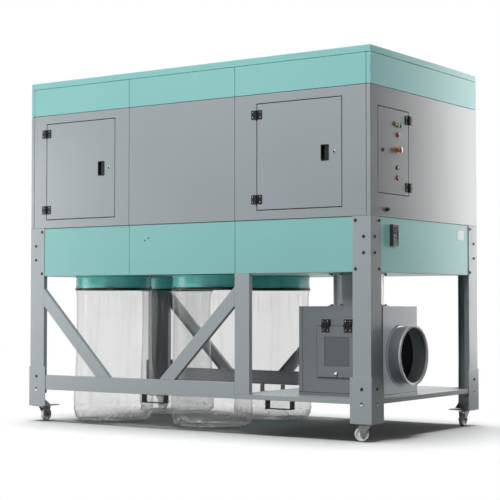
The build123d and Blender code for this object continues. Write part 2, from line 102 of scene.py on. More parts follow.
def makeCamera():
    data = bpy.data.cameras.new("photoCamera")
    data.lens = cameraSettings["lens"]
    data.sensor_width = 36
    data.clip_end = 100
    camera = bpy.data.objects.new("photoCamera", data)
    camera.location = cameraSettings["place"]
    camera.rotation_euler = (radians(cameraSettings["tilt"]), 0, radians(cameraSettings["turn"]))
    bpy.context.scene.collection.objects.link(camera)
    bpy.context.scene.camera = camera


makeCamera()

# Shapes. A shape is its points and its faces, worked out in its own right, up and out directions.


def ringFaces(rows, count, closedRows=False, closedColumns=True):
    # Quads between neighbouring rows of a grid of points, wrapped round where it is closed
    row = np.arange(rows if closedRows else rows - 1)
    column = np.arange(count if closedColumns else count - 1)
    row, column = np.meshgrid(row, column, indexing="ij")
    nextRow, nextColumn = (row + 1) % rows, (column + 1) % count
    quads = (row * count + column, row * count + nextColumn, nextRow * count + nextColumn,
             nextRow * count + column)
    return np.stack(quads, axis=-1).reshape(-1, 4).tolist()


def loft(rings, capLow=True, capHigh=True, closed=False):
    # Skin over a stack of closed outlines, with a flat face on either end
    rows, count = rings.shape[:2]
    faces = ringFaces(rows, count, closed)
    if capLow:
        faces.append(list(range(count))[::-1])
    if capHigh:
        faces.append(list(range((rows - 1) * count, rows * count)))
    return rings.reshape(-1, 3), faces


def lathe(profile, count=48, capLow=True, capHigh=True):
    # Each profile point is a radius and a height, carried round a full turn
    profile = np.array(profile, float)
    angle = np.arange(count) * 2 * pi / count
    rings = np.stack([np.outer(profile[:, 0], np.cos(angle)), np.outer(profile[:, 0], np.sin(angle)),
                      np.repeat(profile[:, 1:2], count, axis=1)], axis=-1)
    return loft(rings, capLow, capHigh)


def roundRect(width, height, radius, steps=4):
    # Outline of a rectangle whose corners are quarter circles, anticlockwise
    angle = np.linspace(0, pi / 2, steps + 1)
    arc = radius * np.stack([np.cos(angle), np.sin(angle)], axis=1)
    halfWidth, halfHeight = width / 2 - radius, height / 2 - radius
    first = arc + (halfWidth, halfHeight)
    second = arc[:, ::-1] * (-1, 1)
    second = second + (-halfWidth, halfHeight)
    half = np.concatenate([first, second])
    return np.concatenate([half, -half])


def rimArc(radius, steps=3):
    # Inset and level of points round a quarter circle, from the side of an edge to its face
    angle = np.linspace(0, pi / 2, steps + 1)
    return [(radius * (1 - cos(a)), radius * (sin(a) - 1)) for a in angle]


def outlineRings(width, height, corner, layers):
    # The outline drawn in by each layer's inset, at that layer's level
    rings = []
    for inset, level in layers:
        outline = roundRect(width - 2 * inset, height - 2 * inset, max(corner - inset, 0.0002))
        rings.append(np.column_stack([outline, np.full(len(outline), level)]))
    return rings


def slab(width, height, corner, thickness, rim=0.001):
    # A plate with rounded corners and a rounded front edge, its back on level 0
    layers = [(0, 0)] + [(inset, thickness + level) for inset, level in rimArc(rim)]
    return loft(np.array(outlineRings(width, height, corner, layers)))


def dish(width, height, corner, thickness, wall, floor, rim=0.0008):
    # A slab with a sunken face: the rim turns over and drops to a floor level
    layers = [(0, 0)] + [(inset, thickness + level) for inset, level in rimArc(rim)]
    layers += [(wall - inset, thickness + level) for inset, level in rimArc(rim)[::-1]]
    layers += [(wall, floor + rim), (wall + rim, floor)]
    return loft(np.array(outlineRings(width, height, corner, layers)))


def framePlate(width, height, hole, radius, depth):
    # A sheet with its outer and doorway edges folded back; hole is (middle right, middle up, width, height)
    corner = 0.001
    outer = [(0, -depth)] + [(inset, level) for inset, level in rimArc(radius)]
    rings = outlineRings(width, height, corner + radius, outer)
    inner = [(-inset, level) for inset, level in rimArc(radius)[::-1]] + [(0, -depth)]
    for ring in outlineRings(hole[2], hole[3], corner, inner):
        rings.append(ring + (hole[0], hole[1], 0))
    return loft(np.array(rings), capLow=False, capHigh=False)


def hexHead(across, height, washer):
    # A hexagon head with a chamfered top on a round washer
    radius = across / 2 / cos(pi / 6)
    head = lathe([(radius, washer), (radius, washer + 0.75 * height), (0.82 * radius, washer + height)], 6)
    disc = lathe([(across * 0.95, 0), (across * 0.95, 0.8 * washer), (across * 0.9, washer)], 24)
    return joined(head, disc)


def panHead(radius, height, count=20):
    # A low domed screw head with a slot's worth of recess in its middle
    rows = [(radius, 0), (radius, 0.35 * height), (0.86 * radius, 0.75 * height), (0.6 * radius, height),
            (0.34 * radius, height), (0.28 * radius, 0.55 * height)]
    return lathe(rows, count)


def joined(*shapes):
    points, faces, start = [], [], 0
    for shapePoints, shapeFaces in shapes:
        points.append(shapePoints)
        faces += [[index + start for index in face] for face in shapeFaces]
        start += len(shapePoints)
    return np.concatenate(points), faces


def turned(shape, right, up, out):
    # The same shape with its right, up and out directions swapped for others
    return shape[0] @ np.array((right, up, out), float), shape[1]


def shifted(shape, right=0.0, up=0.0, out=0.0):
    return shape[0] + (right, up, out), shape[1]


def placed(shape, origin, side):
    # A shape put on one side of the machine
    return shape[0] @ np.array(sides[side], float) + origin, shape[1]


def repeated(shape, origins, side):
    return joined(*[placed(shape, origin, side) for origin in origins])


def bentSheet(path, closed, low, high, radius, depth):
    # A vertical sheet along a plan path, its top and bottom edges folded in by depth.
    # Each point stands inwards of the path by the fold's inset, along the path's normal.
    path = np.array(path, float)
    ahead = np.roll(path, -1, axis=0) - path
    behind = path - np.roll(path, 1, axis=0)
    if not closed:
        ahead[-1], behind[0] = behind[-1], ahead[0]
    unit = [v / np.linalg.norm(v, axis=1, keepdims=True) for v in (ahead, behind)]
    tangent = unit[0] + unit[1]
    share = (tangent ** 2).sum(axis=1, keepdims=True) / 2
    normal = np.column_stack([tangent[:, 1], -tangent[:, 0]]) / share
    bottom = [(depth, low)] + [(radius * (1 - sin(a)), low + radius * (1 - cos(a)))
                               for a in np.linspace(0, pi / 2, 4)]
    top = [(inset, low + high - level) for inset, level in bottom[::-1]]
    fold = np.array(bottom + top)
    rings = np.empty((len(fold), len(path), 3))
    rings[:, :, :2] = path[None] - normal[None] * fold[:, :1, None]
    rings[:, :, 2] = fold[:, 1:2]
    return rings.reshape(-1, 3), ringFaces(len(fold), len(path), False, closed)


def bendPath(corners, radius, endCurl, steps=4):
    # A plan path through corners with each bend a small arc, and both ends curled inwards
    corners = [np.array(c, float) for c in corners]
    points = []
    for before, corner, after in zip(corners, corners[1:], corners[2:]):
        into = (corner - before) / np.linalg.norm(corner - before)
        out = (after - corner) / np.linalg.norm(after - corner)
        for share in np.linspace(0, 1, steps + 1):
            angle = share * pi / 2
            points.append(corner - into * radius * (1 - sin(angle)) + out * radius * (1 - cos(angle)))
    start, end = corners[0], corners[-1]
    goes = (corners[1] - start) / np.linalg.norm(corners[1] - start)
    comes = (end - corners[-2]) / np.linalg.norm(end - corners[-2])
    inStart, inEnd = np.array((-goes[1], goes[0])), np.array((-comes[1], comes[0]))
    curl = endCurl["radius"]
    angles = np.linspace(0, pi / 2, 4)
    first = [start + inStart * endCurl["depth"]]
    first += [start + goes * curl * (1 - cos(a)) + inStart * curl * (1 - sin(a)) for a in angles]
    last = [end - comes * curl * (1 - sin(a)) + inEnd * curl * (1 - cos(a)) for a in angles]
    last += [end + inEnd * endCurl["depth"]]
    return np.array(first + points + last)


def smoothCurve(points, count):
    # A smooth line through given points: each stretch is a cubic whose slope at a point
    # follows the line between that point's neighbours
    points = np.array(points, float)
    padded = np.concatenate([[2 * points[0] - points[1]], points, [2 * points[-1] - points[-2]]])
    place = np.linspace(0, len(points) - 1, count)
    span = np.minimum(place.astype(int), len(points) - 2)
    t = (place - span)[:, None]
    a, b, c, d = (padded[span + k] for k in range(4))
    return 0.5 * (2 * b + (c - a) * t + (2 * a - 5 * b + 4 * c - d) * t ** 2
                  + (3 * b - a - 3 * c + d) * t ** 3)


def ripple(points, waves, generator, sharp=False):
    # Sum of sine waves in random directions; sharp folds each wave at zero into a crease
    total = np.zeros(points.shape[:-1])
    for length, height in waves:
        direction = generator.normal(size=3)
        direction *= 2 * pi / length / np.linalg.norm(direction)
        wave = np.sin(points @ direction + generator.uniform(0, 2 * pi))
        total += height * (1 - 2 * np.abs(wave) if sharp else wave)
    return total


# Pieces


def makePiece(name, shape, material, body="housing", replaces=(), smooth=35.0, thickness=0.0,
              flat=True):
    mesh = bpy.data.meshes.new(name)
    mesh.from_pydata(shape[0].tolist(), [], shape[1])
    mesh.validate()
    mesh.polygons.foreach_set("use_smooth", np.ones(len(mesh.polygons), bool))
    mesh.set_sharp_from_angle(angle=radians(smooth))
    mesh.materials.append(material)
    piece = bpy.data.objects.new(name, mesh)
    bpy.context.scene.collection.objects.link(piece)
    if thickness:
        solid = piece.modifiers.new("sheetThickness", "SOLIDIFY")
        solid.thickness = thickness
        solid.offset = -1
    if flat:
        # Flat faces stay flat in the shading, and only the rounded edges turn
        piece.modifiers.new("flatShading", "WEIGHTED_NORMAL").keep_sharp = True
    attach(piece, body)
    if replaces:
        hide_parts(*replaces)
    return piece


def dressNode(node, material, edge=0.001):
    # A welded copy of a CAD piece with its edges eased, so that they catch the light
    mesh = frame["nodes"][node].data.copy()
    work = bmesh.new()
    work.from_mesh(mesh)
    bmesh.ops.remove_doubles(work, verts=work.verts, dist=1e-5)
    bmesh.ops.dissolve_limit(work, angle_limit=radians(0.5), verts=work.verts, edges=work.edges)
    work.to_mesh(mesh)
    work.free()
    mesh.name = node + "_eased"
    mesh.materials.clear()
    mesh.materials.append(material)
    mesh.polygons.foreach_set("use_smooth", np.ones(len(mesh.polygons), bool))
    mesh.set_sharp_from_angle(angle=radians(35))
    piece = bpy.data.objects.new(node + "_eased", mesh)
    bpy.context.scene.collection.objects.link(piece)
    bevel = piece.modifiers.new("easedEdges", "BEVEL")
    bevel.width = edge
    bevel.segments = 2
    bevel.limit_method = "ANGLE"
    bevel.angle_limit = radians(35)
    bevel.harden_normals = True
    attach(piece, bodyOf[node])
    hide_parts(node)
    return piece


# Materials


def shaderTree(name):
    material = bpy.data.materials.new(name)
    material.use_nodes = True
    return material, material.node_tree, material.node_tree.nodes["Principled BSDF"]


def addNode(tree, kind, inputs=None, **settings):
    made = tree.nodes.new(kind)
    for key, value in settings.items():
        setattr(made, key, value)
    for key, value in (inputs or {}).items():
        if isinstance(value, bpy.types.NodeSocket):
            tree.links.new(value, made.inputs[key])
        else:
            made.inputs[key].default_value = value
    return made


def noiseValue(tree, scale, detail=2.0, roughness=0.5, vector=None):
    place = vector or addNode(tree, "ShaderNodeTexCoord").outputs["Object"]
    return addNode(tree, "ShaderNodeTexNoise", {"Vector": place, "Scale": scale, "Detail": detail,
                                                "Roughness": roughness}).outputs["Fac"]


def ranged(tree, value, low, high, fromLow=0.3, fromHigh=0.7):
    return addNode(tree, "ShaderNodeMapRange", {"Value": value, "From Min": fromLow, "From Max": fromHigh,
                                                "To Min": low, "To Max": high}).outputs["Result"]


def blendColour(tree, factor, first, second):
    mix = addNode(tree, "ShaderNodeMix", {0: factor}, data_type="RGBA")
    mix.inputs[6].default_value = (*first, 1)
    mix.inputs[7].default_value = (*second, 1)
    return mix.outputs[2]


def scaled(colour, share):
    return tuple(channel * share for channel in colour)


def bumpNormal(tree, height, strength, distance, normal=None):
    inputs = {"Height": height, "Strength": strength, "Distance": distance}
    if normal:
        inputs["Normal"] = normal
    return addNode(tree, "ShaderNodeBump", inputs).outputs["Normal"]


def powderPaint(name, colour, roughness=0.38, coat=0.0, drift=0.022, specular=0.34):
    # Baked powder coat: fine orange peel, a slow drift of tone and of gloss, and slightly wavy sheet
    material, tree, shader = shaderTree(name)
    tone = noiseValue(tree, 1.7, 3)
    tree.links.new(blendColour(tree, ranged(tree, tone, 0, 1), scaled(colour, 1 - drift),
                               scaled(colour, 1 + drift)),
                   shader.inputs["Base Color"])
    gloss = noiseValue(tree, 4.0, 1)
    tree.links.new(ranged(tree, gloss, roughness - 0.012, roughness + 0.016), shader.inputs["Roughness"])
    peel = bumpNormal(tree, noiseValue(tree, 620, 1), 0.10, 0.0004)
    sheet = bumpNormal(tree, noiseValue(tree, 2.2, 0), 0.05, 0.004, peel)
    tree.links.new(sheet, shader.inputs["Normal"])
    shader.inputs["Specular IOR Level"].default_value = specular
    shader.inputs["Coat Weight"].default_value = coat
    shader.inputs["Coat Roughness"].default_value = 0.16
    return material


def mouldedPlastic(name, colour, roughness=0.42, grain=900, strength=0.25, specular=0.5):
    material, tree, shader = shaderTree(name)
    tone = noiseValue(tree, 14, 3)
    tree.links.new(blendColour(tree, ranged(tree, tone, 0, 1), scaled(colour, 0.88), scaled(colour, 1.12)),
                   shader.inputs["Base Color"])
    tree.links.new(ranged(tree, noiseValue(tree, 30, 3), roughness - 0.05, roughness + 0.06),
                   shader.inputs["Roughness"])
    tree.links.new(bumpNormal(tree, noiseValue(tree, grain, 2), strength, 0.0002), shader.inputs["Normal"])
    shader.inputs["Specular IOR Level"].default_value = specular
    return material


def platedSteel(name, colour, roughness=0.28, spangle=90):
    # Zinc plate: brushed fine scratches and cloudy patches of tone
    material, tree, shader = shaderTree(name)
    patch = noiseValue(tree, spangle, 4, 0.65)
    tree.links.new(blendColour(tree, ranged(tree, patch, 0, 1), scaled(colour, 0.82), scaled(colour, 1.08)),
                   shader.inputs["Base Color"])
    tree.links.new(ranged(tree, noiseValue(tree, 60, 4), roughness - 0.07, roughness + 0.12),
                   shader.inputs["Roughness"])
    tree.links.new(bumpNormal(tree, noiseValue(tree, 450, 3), 0.12, 0.0003), shader.inputs["Normal"])
    shader.inputs["Metallic"].default_value = 1.0
    return material


def lensPlastic(name, colour, glow=0.0):
    # Ribbed clear plastic over a coloured cap
    material, tree, shader = shaderTree(name)
    facing = addNode(tree, "ShaderNodeLayerWeight", {"Blend": 0.35}).outputs["Facing"]
    tree.links.new(blendColour(tree, facing, colour, scaled(colour, 0.45)), shader.inputs["Base Color"])
    tree.links.new(ranged(tree, noiseValue(tree, 120, 2), 0.14, 0.26), shader.inputs["Roughness"])
    shader.inputs["Coat Weight"].default_value = 0.25
    shader.inputs["Coat Roughness"].default_value = 0.08
    if glow:
        shader.inputs["Emission Color"].default_value = (*colour, 1)
        shader.inputs["Emission Strength"].default_value = glow
    return material


def clearFilm(name):
    # Thin polythene: smoky and clear face on, greyer where it turns away, with painted highlights on its
    # creases and crests, and a milky foot
    material, tree, shader = shaderTree(name)
    facing = addNode(tree, "ShaderNodeLayerWeight", {"Blend": 0.5}).outputs["Facing"]
    # The painted highlight mask from the bag's shape makes the film paler and less clear on its crests and
    # creases
    paintedHighlight = addNode(tree, "ShaderNodeAttribute", attribute_name="paintedHighlight").outputs["Fac"]
    low = addNode(tree, "ShaderNodeAttribute", attribute_name="low").outputs["Fac"]
    veil = ranged(tree, facing, 0.155, 0.66, 0.64, 0.98)
    cloud = ranged(tree, noiseValue(tree, 5, 4, 0.6), 0.0, 0.04)
    total = addNode(tree, "ShaderNodeMath", {0: veil, 1: cloud}, operation="ADD").outputs[0]
    total = addNode(tree, "ShaderNodeMath", {0: low, 1: 0.14, 2: total}, operation="MULTIPLY_ADD").outputs[0]
    total = addNode(tree, "ShaderNodeMath", {0: paintedHighlight, 1: 0.30, 2: total}, operation="MULTIPLY_ADD",
                    use_clamp=True).outputs[0]
    tree.links.new(total, shader.inputs["Alpha"])
    wall = blendColour(tree, facing, (0.38, 0.38, 0.38), (0.24, 0.24, 0.24))
    foot = addNode(tree, "ShaderNodeMix", {0: low, 6: wall}, data_type="RGBA")
    foot.inputs[7].default_value = (0.46, 0.46, 0.455, 1)
    # Painted highlight: where the mask is high the film is whitened towards 0.9
    mix = addNode(tree, "ShaderNodeMix", {0: paintedHighlight, 6: foot.outputs[2]}, data_type="RGBA")
    mix.inputs[7].default_value = (0.90, 0.90, 0.90, 1)
    tree.links.new(mix.outputs[2], shader.inputs["Base Color"])
    tree.links.new(ranged(tree, noiseValue(tree, 40, 3), 0.08, 0.16), shader.inputs["Roughness"])
    ruffle = addNode(tree, "ShaderNodeMath", {0: low, 1: 0.85, 2: 0.03}, operation="MULTIPLY_ADD").outputs[0]
    tree.links.new(bumpNormal(tree, noiseValue(tree, 46, 5, 0.60), ruffle, 0.008), shader.inputs["Normal"])
    shader.inputs["IOR"].default_value = 1.5
    shader.inputs["Coat Weight"].default_value = 0.15
    shader.inputs["Coat Roughness"].default_value = 0.05
    return material


finish = {
    "teal": powderPaint("tealPaint", (0.258, 0.535, 0.515), 0.30, specular=0.13),
    "grey": powderPaint("greyPaint", (0.312, 0.343, 0.357), 0.30, specular=0.42),
    "frame": powderPaint("framePaint", (0.350, 0.385, 0.400), 0.36),
    "duct": powderPaint("ductPaint", (0.275, 0.305, 0.318), 0.30, 0.35, specular=0.5),
    # The spigot and inlet box get a darker copy of the grey, painted shade for the shade under the housing
    "spigot": powderPaint("spigotShadePaint", (0.160, 0.178, 0.188), 0.24, 0.35, specular=0.6),
    "box": powderPaint("boxShadePaint", (0.160, 0.177, 0.189), 0.30, 0.05, specular=0.40),
    # Pale grey for the spigot's rolled rim, a painted highlight along it
    "bead": powderPaint("beadHighlightPaint", (0.520, 0.530, 0.535), 0.26, specular=0.6),
    # Near black for the hatch's recessed window, painted shade in the recess
    "window": powderPaint("windowShadePanel", (0.095, 0.106, 0.116), 0.24, specular=0.5),
    "collar": powderPaint("collarPaint", (0.190, 0.800, 0.750), 0.26, specular=0.34),
    "dark": powderPaint("blackPaint", (0.012, 0.012, 0.013), 0.38),
    "black": mouldedPlastic("blackPlastic", (0.008, 0.008, 0.009), specular=0.24),
    # Black rubber for the door seals, also used for the black strips and plates that are painted shade
    "rubberAndShade": mouldedPlastic("blackRubberAndShade", (0.010, 0.010, 0.010), 0.62, 500, 0.35),
    "nylon": mouldedPlastic("whiteNylon", (0.93, 0.93, 0.92), 0.34, 500, 0.10),
    "plate": mouldedPlastic("whitePlate", (0.82, 0.82, 0.81), 0.40, 700, 0.06),
    "zinc": platedSteel("zincPlate", (0.66, 0.67, 0.69)),
    "chrome": platedSteel("polishedSteel", (0.62, 0.63, 0.64), 0.14, 40),
    "screw": platedSteel("screwZinc", (0.42, 0.43, 0.44), 0.30),
    "forkSteel": platedSteel("forkSteel", (0.20, 0.205, 0.21), 0.40),
    "boltBlack": mouldedPlastic("blackenedSteel", (0.020, 0.020, 0.021), 0.40, 700, 0.12),
    "redLens": lensPlastic("redLens", (0.62, 0.02, 0.02), 0.15),
    "greenLens": lensPlastic("greenLens", (0.03, 0.40, 0.10), 0.15),
    "orange": lensPlastic("orangeCap", (0.66, 0.13, 0.015)),
    "mustard": mouldedPlastic("mustardPlastic", (0.62, 0.30, 0.035), 0.40, 700, 0.06),
    "screen": lensPlastic("darkScreen", (0.006, 0.008, 0.012)),
    "film": clearFilm("clearFilm"),
}
print("materials made")

# Housing sheets. Each edge is folded back with a small radius, which leaves a groove at every seam.
sheetSettings = {"seam": 0.0026, "radius": 0.0018, "fold": 0.018, "thickness": 0.0015, "bend": 0.004,
                 "bandInset": 0.0043, "bandFold": 0.018,
                 "doorGap": 0.005}


def curl():
    return {"radius": sheetSettings["radius"], "depth": sheetSettings["fold"]}


def flatSheet(start, end, low, high):
    path = bendPath([start, end], 0.0, curl())
    return bentSheet(path, False, low, high, sheetSettings["radius"], sheetSettings["fold"])


def moduleSpans():
    edges = (plan["cornerReturn"], *plan["seams"], plan["length"] - plan["cornerReturn"])
    gap = sheetSettings["seam"] / 2
    return [(a + gap, b - gap) for a, b in zip(edges, edges[1:])]


def rowSheets(spans, low, high, inset=0.0, rear=False):
    # Flat sheets side by side along the front or the rear
    shapes = []
    for left, right in spans:
        if rear:
            y = plan["depth"] - inset
            start, end = at(right, y, 0)[:2], at(left, y, 0)[:2]
        else:
            start, end = at(left, inset, 0)[:2], at(right, inset, 0)[:2]
        shapes.append(flatSheet(start, end, low, high))
    return shapes


def endSheet(low, high, right):
    # An end sheet that wraps both corners of its end
    reach = plan["cornerReturn"] - sheetSettings["seam"] / 2
    depth, length = plan["depth"], plan["length"]
    if right:
        corners = [(length - reach, 0), (length, 0), (length, depth), (length - reach, depth)]
    else:
        corners = [(reach, depth), (0, depth), (0, 0), (reach, 0)]
    path = bendPath([at(x, y, 0)[:2] for x, y in corners], sheetSettings["bend"], curl())
    return bentSheet(path, False, low, high, sheetSettings["radius"], sheetSettings["fold"])


def doorFrame(span, door, low, high):
    # The front sheet round a doorway
    gap = sheetSettings["doorGap"]
    width, height = span[1] - span[0], high - low
    lowCorner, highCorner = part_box(door)
    doorMiddle = ((lowCorner.x + highCorner.x) / 2, (lowCorner.z + highCorner.z) / 2)
    doorSize = (highCorner.x - lowCorner.x + 2 * gap, highCorner.z - lowCorner.z + 2 * gap)
    centre = at((span[0] + span[1]) / 2, 0, (low + high) / 2)
    hole = (doorMiddle[0] - centre[0], doorMiddle[1] - centre[2], *doorSize)
    plate = framePlate(width, height, hole, sheetSettings["radius"], sheetSettings["fold"])
    return placed(plate, centre, "front")


def controlEnd(low, high):
    # The right end: two wrapped corners joined by a sheet with the control doorway cut in it
    lowCorner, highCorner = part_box("control_door")
    gap = sheetSettings["doorGap"]
    depth, length = plan["depth"], plan["length"]
    radius, fold = sheetSettings["radius"], sheetSettings["fold"]
    bend = sheetSettings["bend"]
    reach = plan["cornerReturn"] - sheetSettings["seam"] / 2
    front = bendPath([at(length - reach, 0, 0)[:2], at(length, 0, 0)[:2], at(length, 2 * bend, 0)[:2]],
                     bend, curl())
    rear = bendPath([at(length, depth - 2 * bend, 0)[:2], at(length, depth, 0)[:2],
                     at(length - reach, depth, 0)[:2]],
                    bend, curl())
    front = np.concatenate([front[:-5], [at(length, bend, 0)[:2]]])
    rear = np.concatenate([[at(length, depth - bend, 0)[:2]], rear[5:]])
    shapes = [bentSheet(path, False, low, high, radius, fold) for path in (front, rear)]
    middle = ((lowCorner.y + highCorner.y) / 2, (lowCorner.z + highCorner.z) / 2)
    centre = at(length, depth / 2, (low + high) / 2)
    hole = (middle[0] - centre[1], middle[1] - centre[2], highCorner.y - lowCorner.y + 2 * gap,
            highCorner.z - lowCorner.z + 2 * gap)
    outer = [(0, -fold)] + rimArc(radius)
    width, height = depth - 2 * bend, high - low
    rings = []
    for inset, level in outer:
        outline = roundRect(width, height - 2 * inset, 0.0002)
        rings.append(np.column_stack([outline, np.full(len(outline), level)]))
    inner = [(-inset, level) for inset, level in rimArc(radius)[::-1]] + [(0, -fold)]
    rings += [ring + (hole[0], hole[1], 0) for ring in outlineRings(hole[2], hole[3], 0.001, inner)]
    shapes.append(placed(loft(np.array(rings), False, False), centre, "right"))
    return joined(*shapes)


def makeHousing():
    gap = sheetSettings["seam"] / 2
    panel = (plan["bandTop"], plan["panelTop"])
    trim = (plan["panelTop"] + 2 * gap, plan["trimTop"] - 2 * gap)
    spans = moduleSpans()
    thickness = sheetSettings["thickness"]

    def sheets(name, shapes, colour, replaces):
        makePiece(name, joined(*shapes), finish[colour], "housing", replaces, 30, thickness)

    sheets("front_sheet_left", [doorFrame(spans[0], "door_left", *panel)], "grey",
           ["front_panel_left"])
    sheets("front_sheet_middle", rowSheets(spans[1:2], *panel), "grey", ["front_panel_middle"])
    sheets("front_sheet_right", [doorFrame(spans[2], "door_right", *panel)], "grey",
           ["front_panel_right"])
    sheets("rear_sheets", rowSheets(spans, *panel, rear=True), "grey", ["rear_panels"])
    sheets("end_sheet_left", [endSheet(*panel, False)], "grey", ["end_panel_left"])
    sheets("end_sheet_right", [controlEnd(*panel)], "grey", ["end_panel_right"])
    upper = rowSheets(spans, *trim) + rowSheets(spans, *trim, rear=True)
    upper += [endSheet(*trim, False), endSheet(*trim, True)]
    sheets("upper_band_sheets", upper, "teal", ["upper_band"])

    inset = sheetSettings["bandInset"]
    low, high = plan["bandBottom"], plan["bandTop"] + sheetSettings["bandFold"]
    edges = (inset + 0.003, *plan["seams"], plan["length"] - inset - 0.003)
    bandSpans = [(a + gap, b - gap) for a, b in zip(edges, edges[1:])]
    lower = rowSheets(bandSpans, low, high, inset) + rowSheets(bandSpans, low, high, inset, rear=True)
    right = plan["length"] - inset
    lower.append(flatSheet(at(right, inset, 0)[:2], at(right, plan["depth"] - inset, 0)[:2], low, high))
    lower.append(flatSheet(at(inset, plan["depth"] - inset, 0)[:2], at(inset, inset, 0)[:2], low, high))
    sheets("lower_band_sheets", lower, "teal", ["lower_band"])

    # A black strip under the panels, painted shade for the shadow line beneath their lower edge
    shadeStrip = [(0.006, -0.0024), (0.0016, -0.0024), (0.0016, 0), (0.006, 0)]
    shadeStrip = loft(np.array(outlineRings(plan["length"], plan["depth"], 0.004, shadeStrip)), False, False, closed=True)
    shadeStripPlace = at(plan["length"] / 2, plan["depth"] / 2, plan["bandTop"])
    makePiece("band_shade_strip", placed(shadeStrip, shadeStripPlace, "top"), finish["rubberAndShade"], "housing")

    rim = 0.004
    layers = [(0.012, 0), (0, 0), (0, plan["roofTop"] - plan["trimTop"] - rim)]
    layers += [(inset, plan["roofTop"] - plan["trimTop"] + level) for inset, level in rimArc(rim, 4)]
    rings = np.array(outlineRings(plan["length"], plan["depth"], 0.005, layers))
    roof = placed(loft(rings, capLow=False), at(plan["length"] / 2, plan["depth"] / 2, plan["trimTop"]),
                  "top")
    makePiece("roof_lid", roof, finish["teal"], "housing", ["roof_cap"], 30, thickness)


makeHousing()
print("housing made")

# Doors: flush pans with a rubber seal in the gap behind them
pullSettings = {"width": 0.054, "height": 0.093, "proud": 0.0035, "fromEdge": 0.111,
                "wall": 0.006, "cup": 0.020, "grip": 0.021, "lockFromEdge": 0.048, "lockRadius": 0.0105,
                "lockProud": 0.0045,
                "controlLock": 0.056}
doorSettings = {"rim": 0.0022, "fold": 0.022, "corner": 0.003, "sealWidth": 0.006, "sealDepth": 0.010}


def doorPan(node, side, hole=None):
    # A pan with folded edges; hole is cut in its face as (middle right, middle up, width, height)
    low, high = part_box(node)
    middle = (low + high) / 2
    if side == "front":
        width, height, face = high.x - low.x, high.z - low.z, (middle.x, low.y, middle.z)
    else:
        width, height, face = high.y - low.y, high.z - low.z, (high.x, middle.y, middle.z)
    fold, rim = doorSettings["fold"], doorSettings["rim"]
    layers = [(0.016, -fold), (0, -fold)] + [(inset, level) for inset, level in rimArc(rim)]
    rings = outlineRings(width, height, doorSettings["corner"], layers)
    if hole:
        rings += [ring + (hole[0], hole[1], 0) for ring in outlineRings(hole[2], hole[3], 0.003,
                                                                        [(0, 0), (0, -0.003)])]
    return placed(loft(np.array(rings), False, hole is None), np.array(face), side)


def doorSeal(node, side):
    # A rubber strip set back in the gap, as a flat ring between the doorway and the door
    low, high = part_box(node)
    middle = (low + high) / 2
    gap, back = 0.0048, doorSettings["sealDepth"]
    if side == "front":
        width, height, face = high.x - low.x, high.z - low.z, (middle.x, low.y + back, middle.z)
    else:
        width, height, face = high.y - low.y, high.z - low.z, (high.x - back, middle.y, middle.z)
    layers = [(-gap, -0.006), (-gap, 0), (-0.0012, 0), (-0.0012, -0.006)]
    rings = np.array(outlineRings(width, height, 0.004, layers))
    return placed(loft(rings, False, False, closed=True), np.array(face), side)


def makeDoors():
    thickness = sheetSettings["thickness"]
    s = pullSettings
    for node, side in (("door_left", "front"), ("door_right", "front"), ("control_door", "right")):
        low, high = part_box(node)
        across = (high.x - low.x) / 2 - s["fromEdge"]
        hole = (across, 0, s["width"] - 2 * s["wall"] + 0.002, s["height"] - 2 * s["wall"] + 0.002)
        pan = doorPan(node, side, hole if side == "front" else None)
        makePiece(node + "_pan", pan, finish["grey"], node, [node], 30, thickness)
    seals = [doorSeal(node, side) for node, side in
             (("door_left", "front"), ("door_right", "front"), ("control_door", "right"))]
    makePiece("door_seals", joined(*seals), finish["rubberAndShade"], "housing")


makeDoors()

# Surface hinges: black moulded leaves and knuckles, each leaf with two small screws
hingeSettings = {"reach": 0.038, "start": 0.0075, "height": 0.054, "leaf": 0.0045, "axis": 0.008,
                 "barrel": 0.0066, "split": 0.0005, "screw": 0.0032, "screwAcross": 0.0265, "screwUp": 0.0155,
                 "doorInset": 0.062, "controlInset": 0.047, "hatchInset": 0.060, "gap": 0.005}


def hingeLeaf(levels, standOff=0.0):
    # One leaf on the right of the axis: a slab with a rounded edge, its barrels, and webs that join them
    s = hingeSettings
    width = s["reach"] - s["start"]
    low = -standOff
    plate = shifted(slab(width, s["height"], 0.004, s["leaf"] + standOff, 0.0014), s["start"] + width / 2,
                    0, low)
    third = s["height"] / 3
    shapes = [plate]
    for level in levels:
        bottom = -s["height"] / 2 + level * third + s["split"]
        top = bottom + third - 2 * s["split"]
        radius, ease = s["barrel"], 0.0012
        barrel = lathe([(radius - ease, bottom), (radius, bottom + ease), (radius, top - ease),
                        (radius - ease, top)], 28)
        barrel = turned(barrel, (0, 0, 1), (1, 0, 0), (0, 1, 0))
        shapes.append(shifted(barrel, 0, 0, s["axis"]))
        web = slab(s["start"] + 0.003, top - bottom, 0.0008, s["leaf"] + 0.003, 0.001)
        shapes.append(shifted(web, (s["start"] + 0.003) / 2, (bottom + top) / 2, 0.0))
    return joined(*shapes)


def hingeScrews():
    s = hingeSettings
    screw = panHead(s["screw"], 0.0022, 18)
    return joined(*[shifted(screw, s["screwAcross"], up, s["leaf"] - 0.0004)
                    for up in (-s["screwUp"], s["screwUp"])])


def facing(shape, origin, side, moving=1):
    # Puts a hinge half in place; moving is -1 where the leaf lies on the axis's other side
    points = shape[0] * (moving, 1, 1)
    faces = shape[1] if moving > 0 else [face[::-1] for face in shape[1]]
    return placed((points, faces), origin, side)


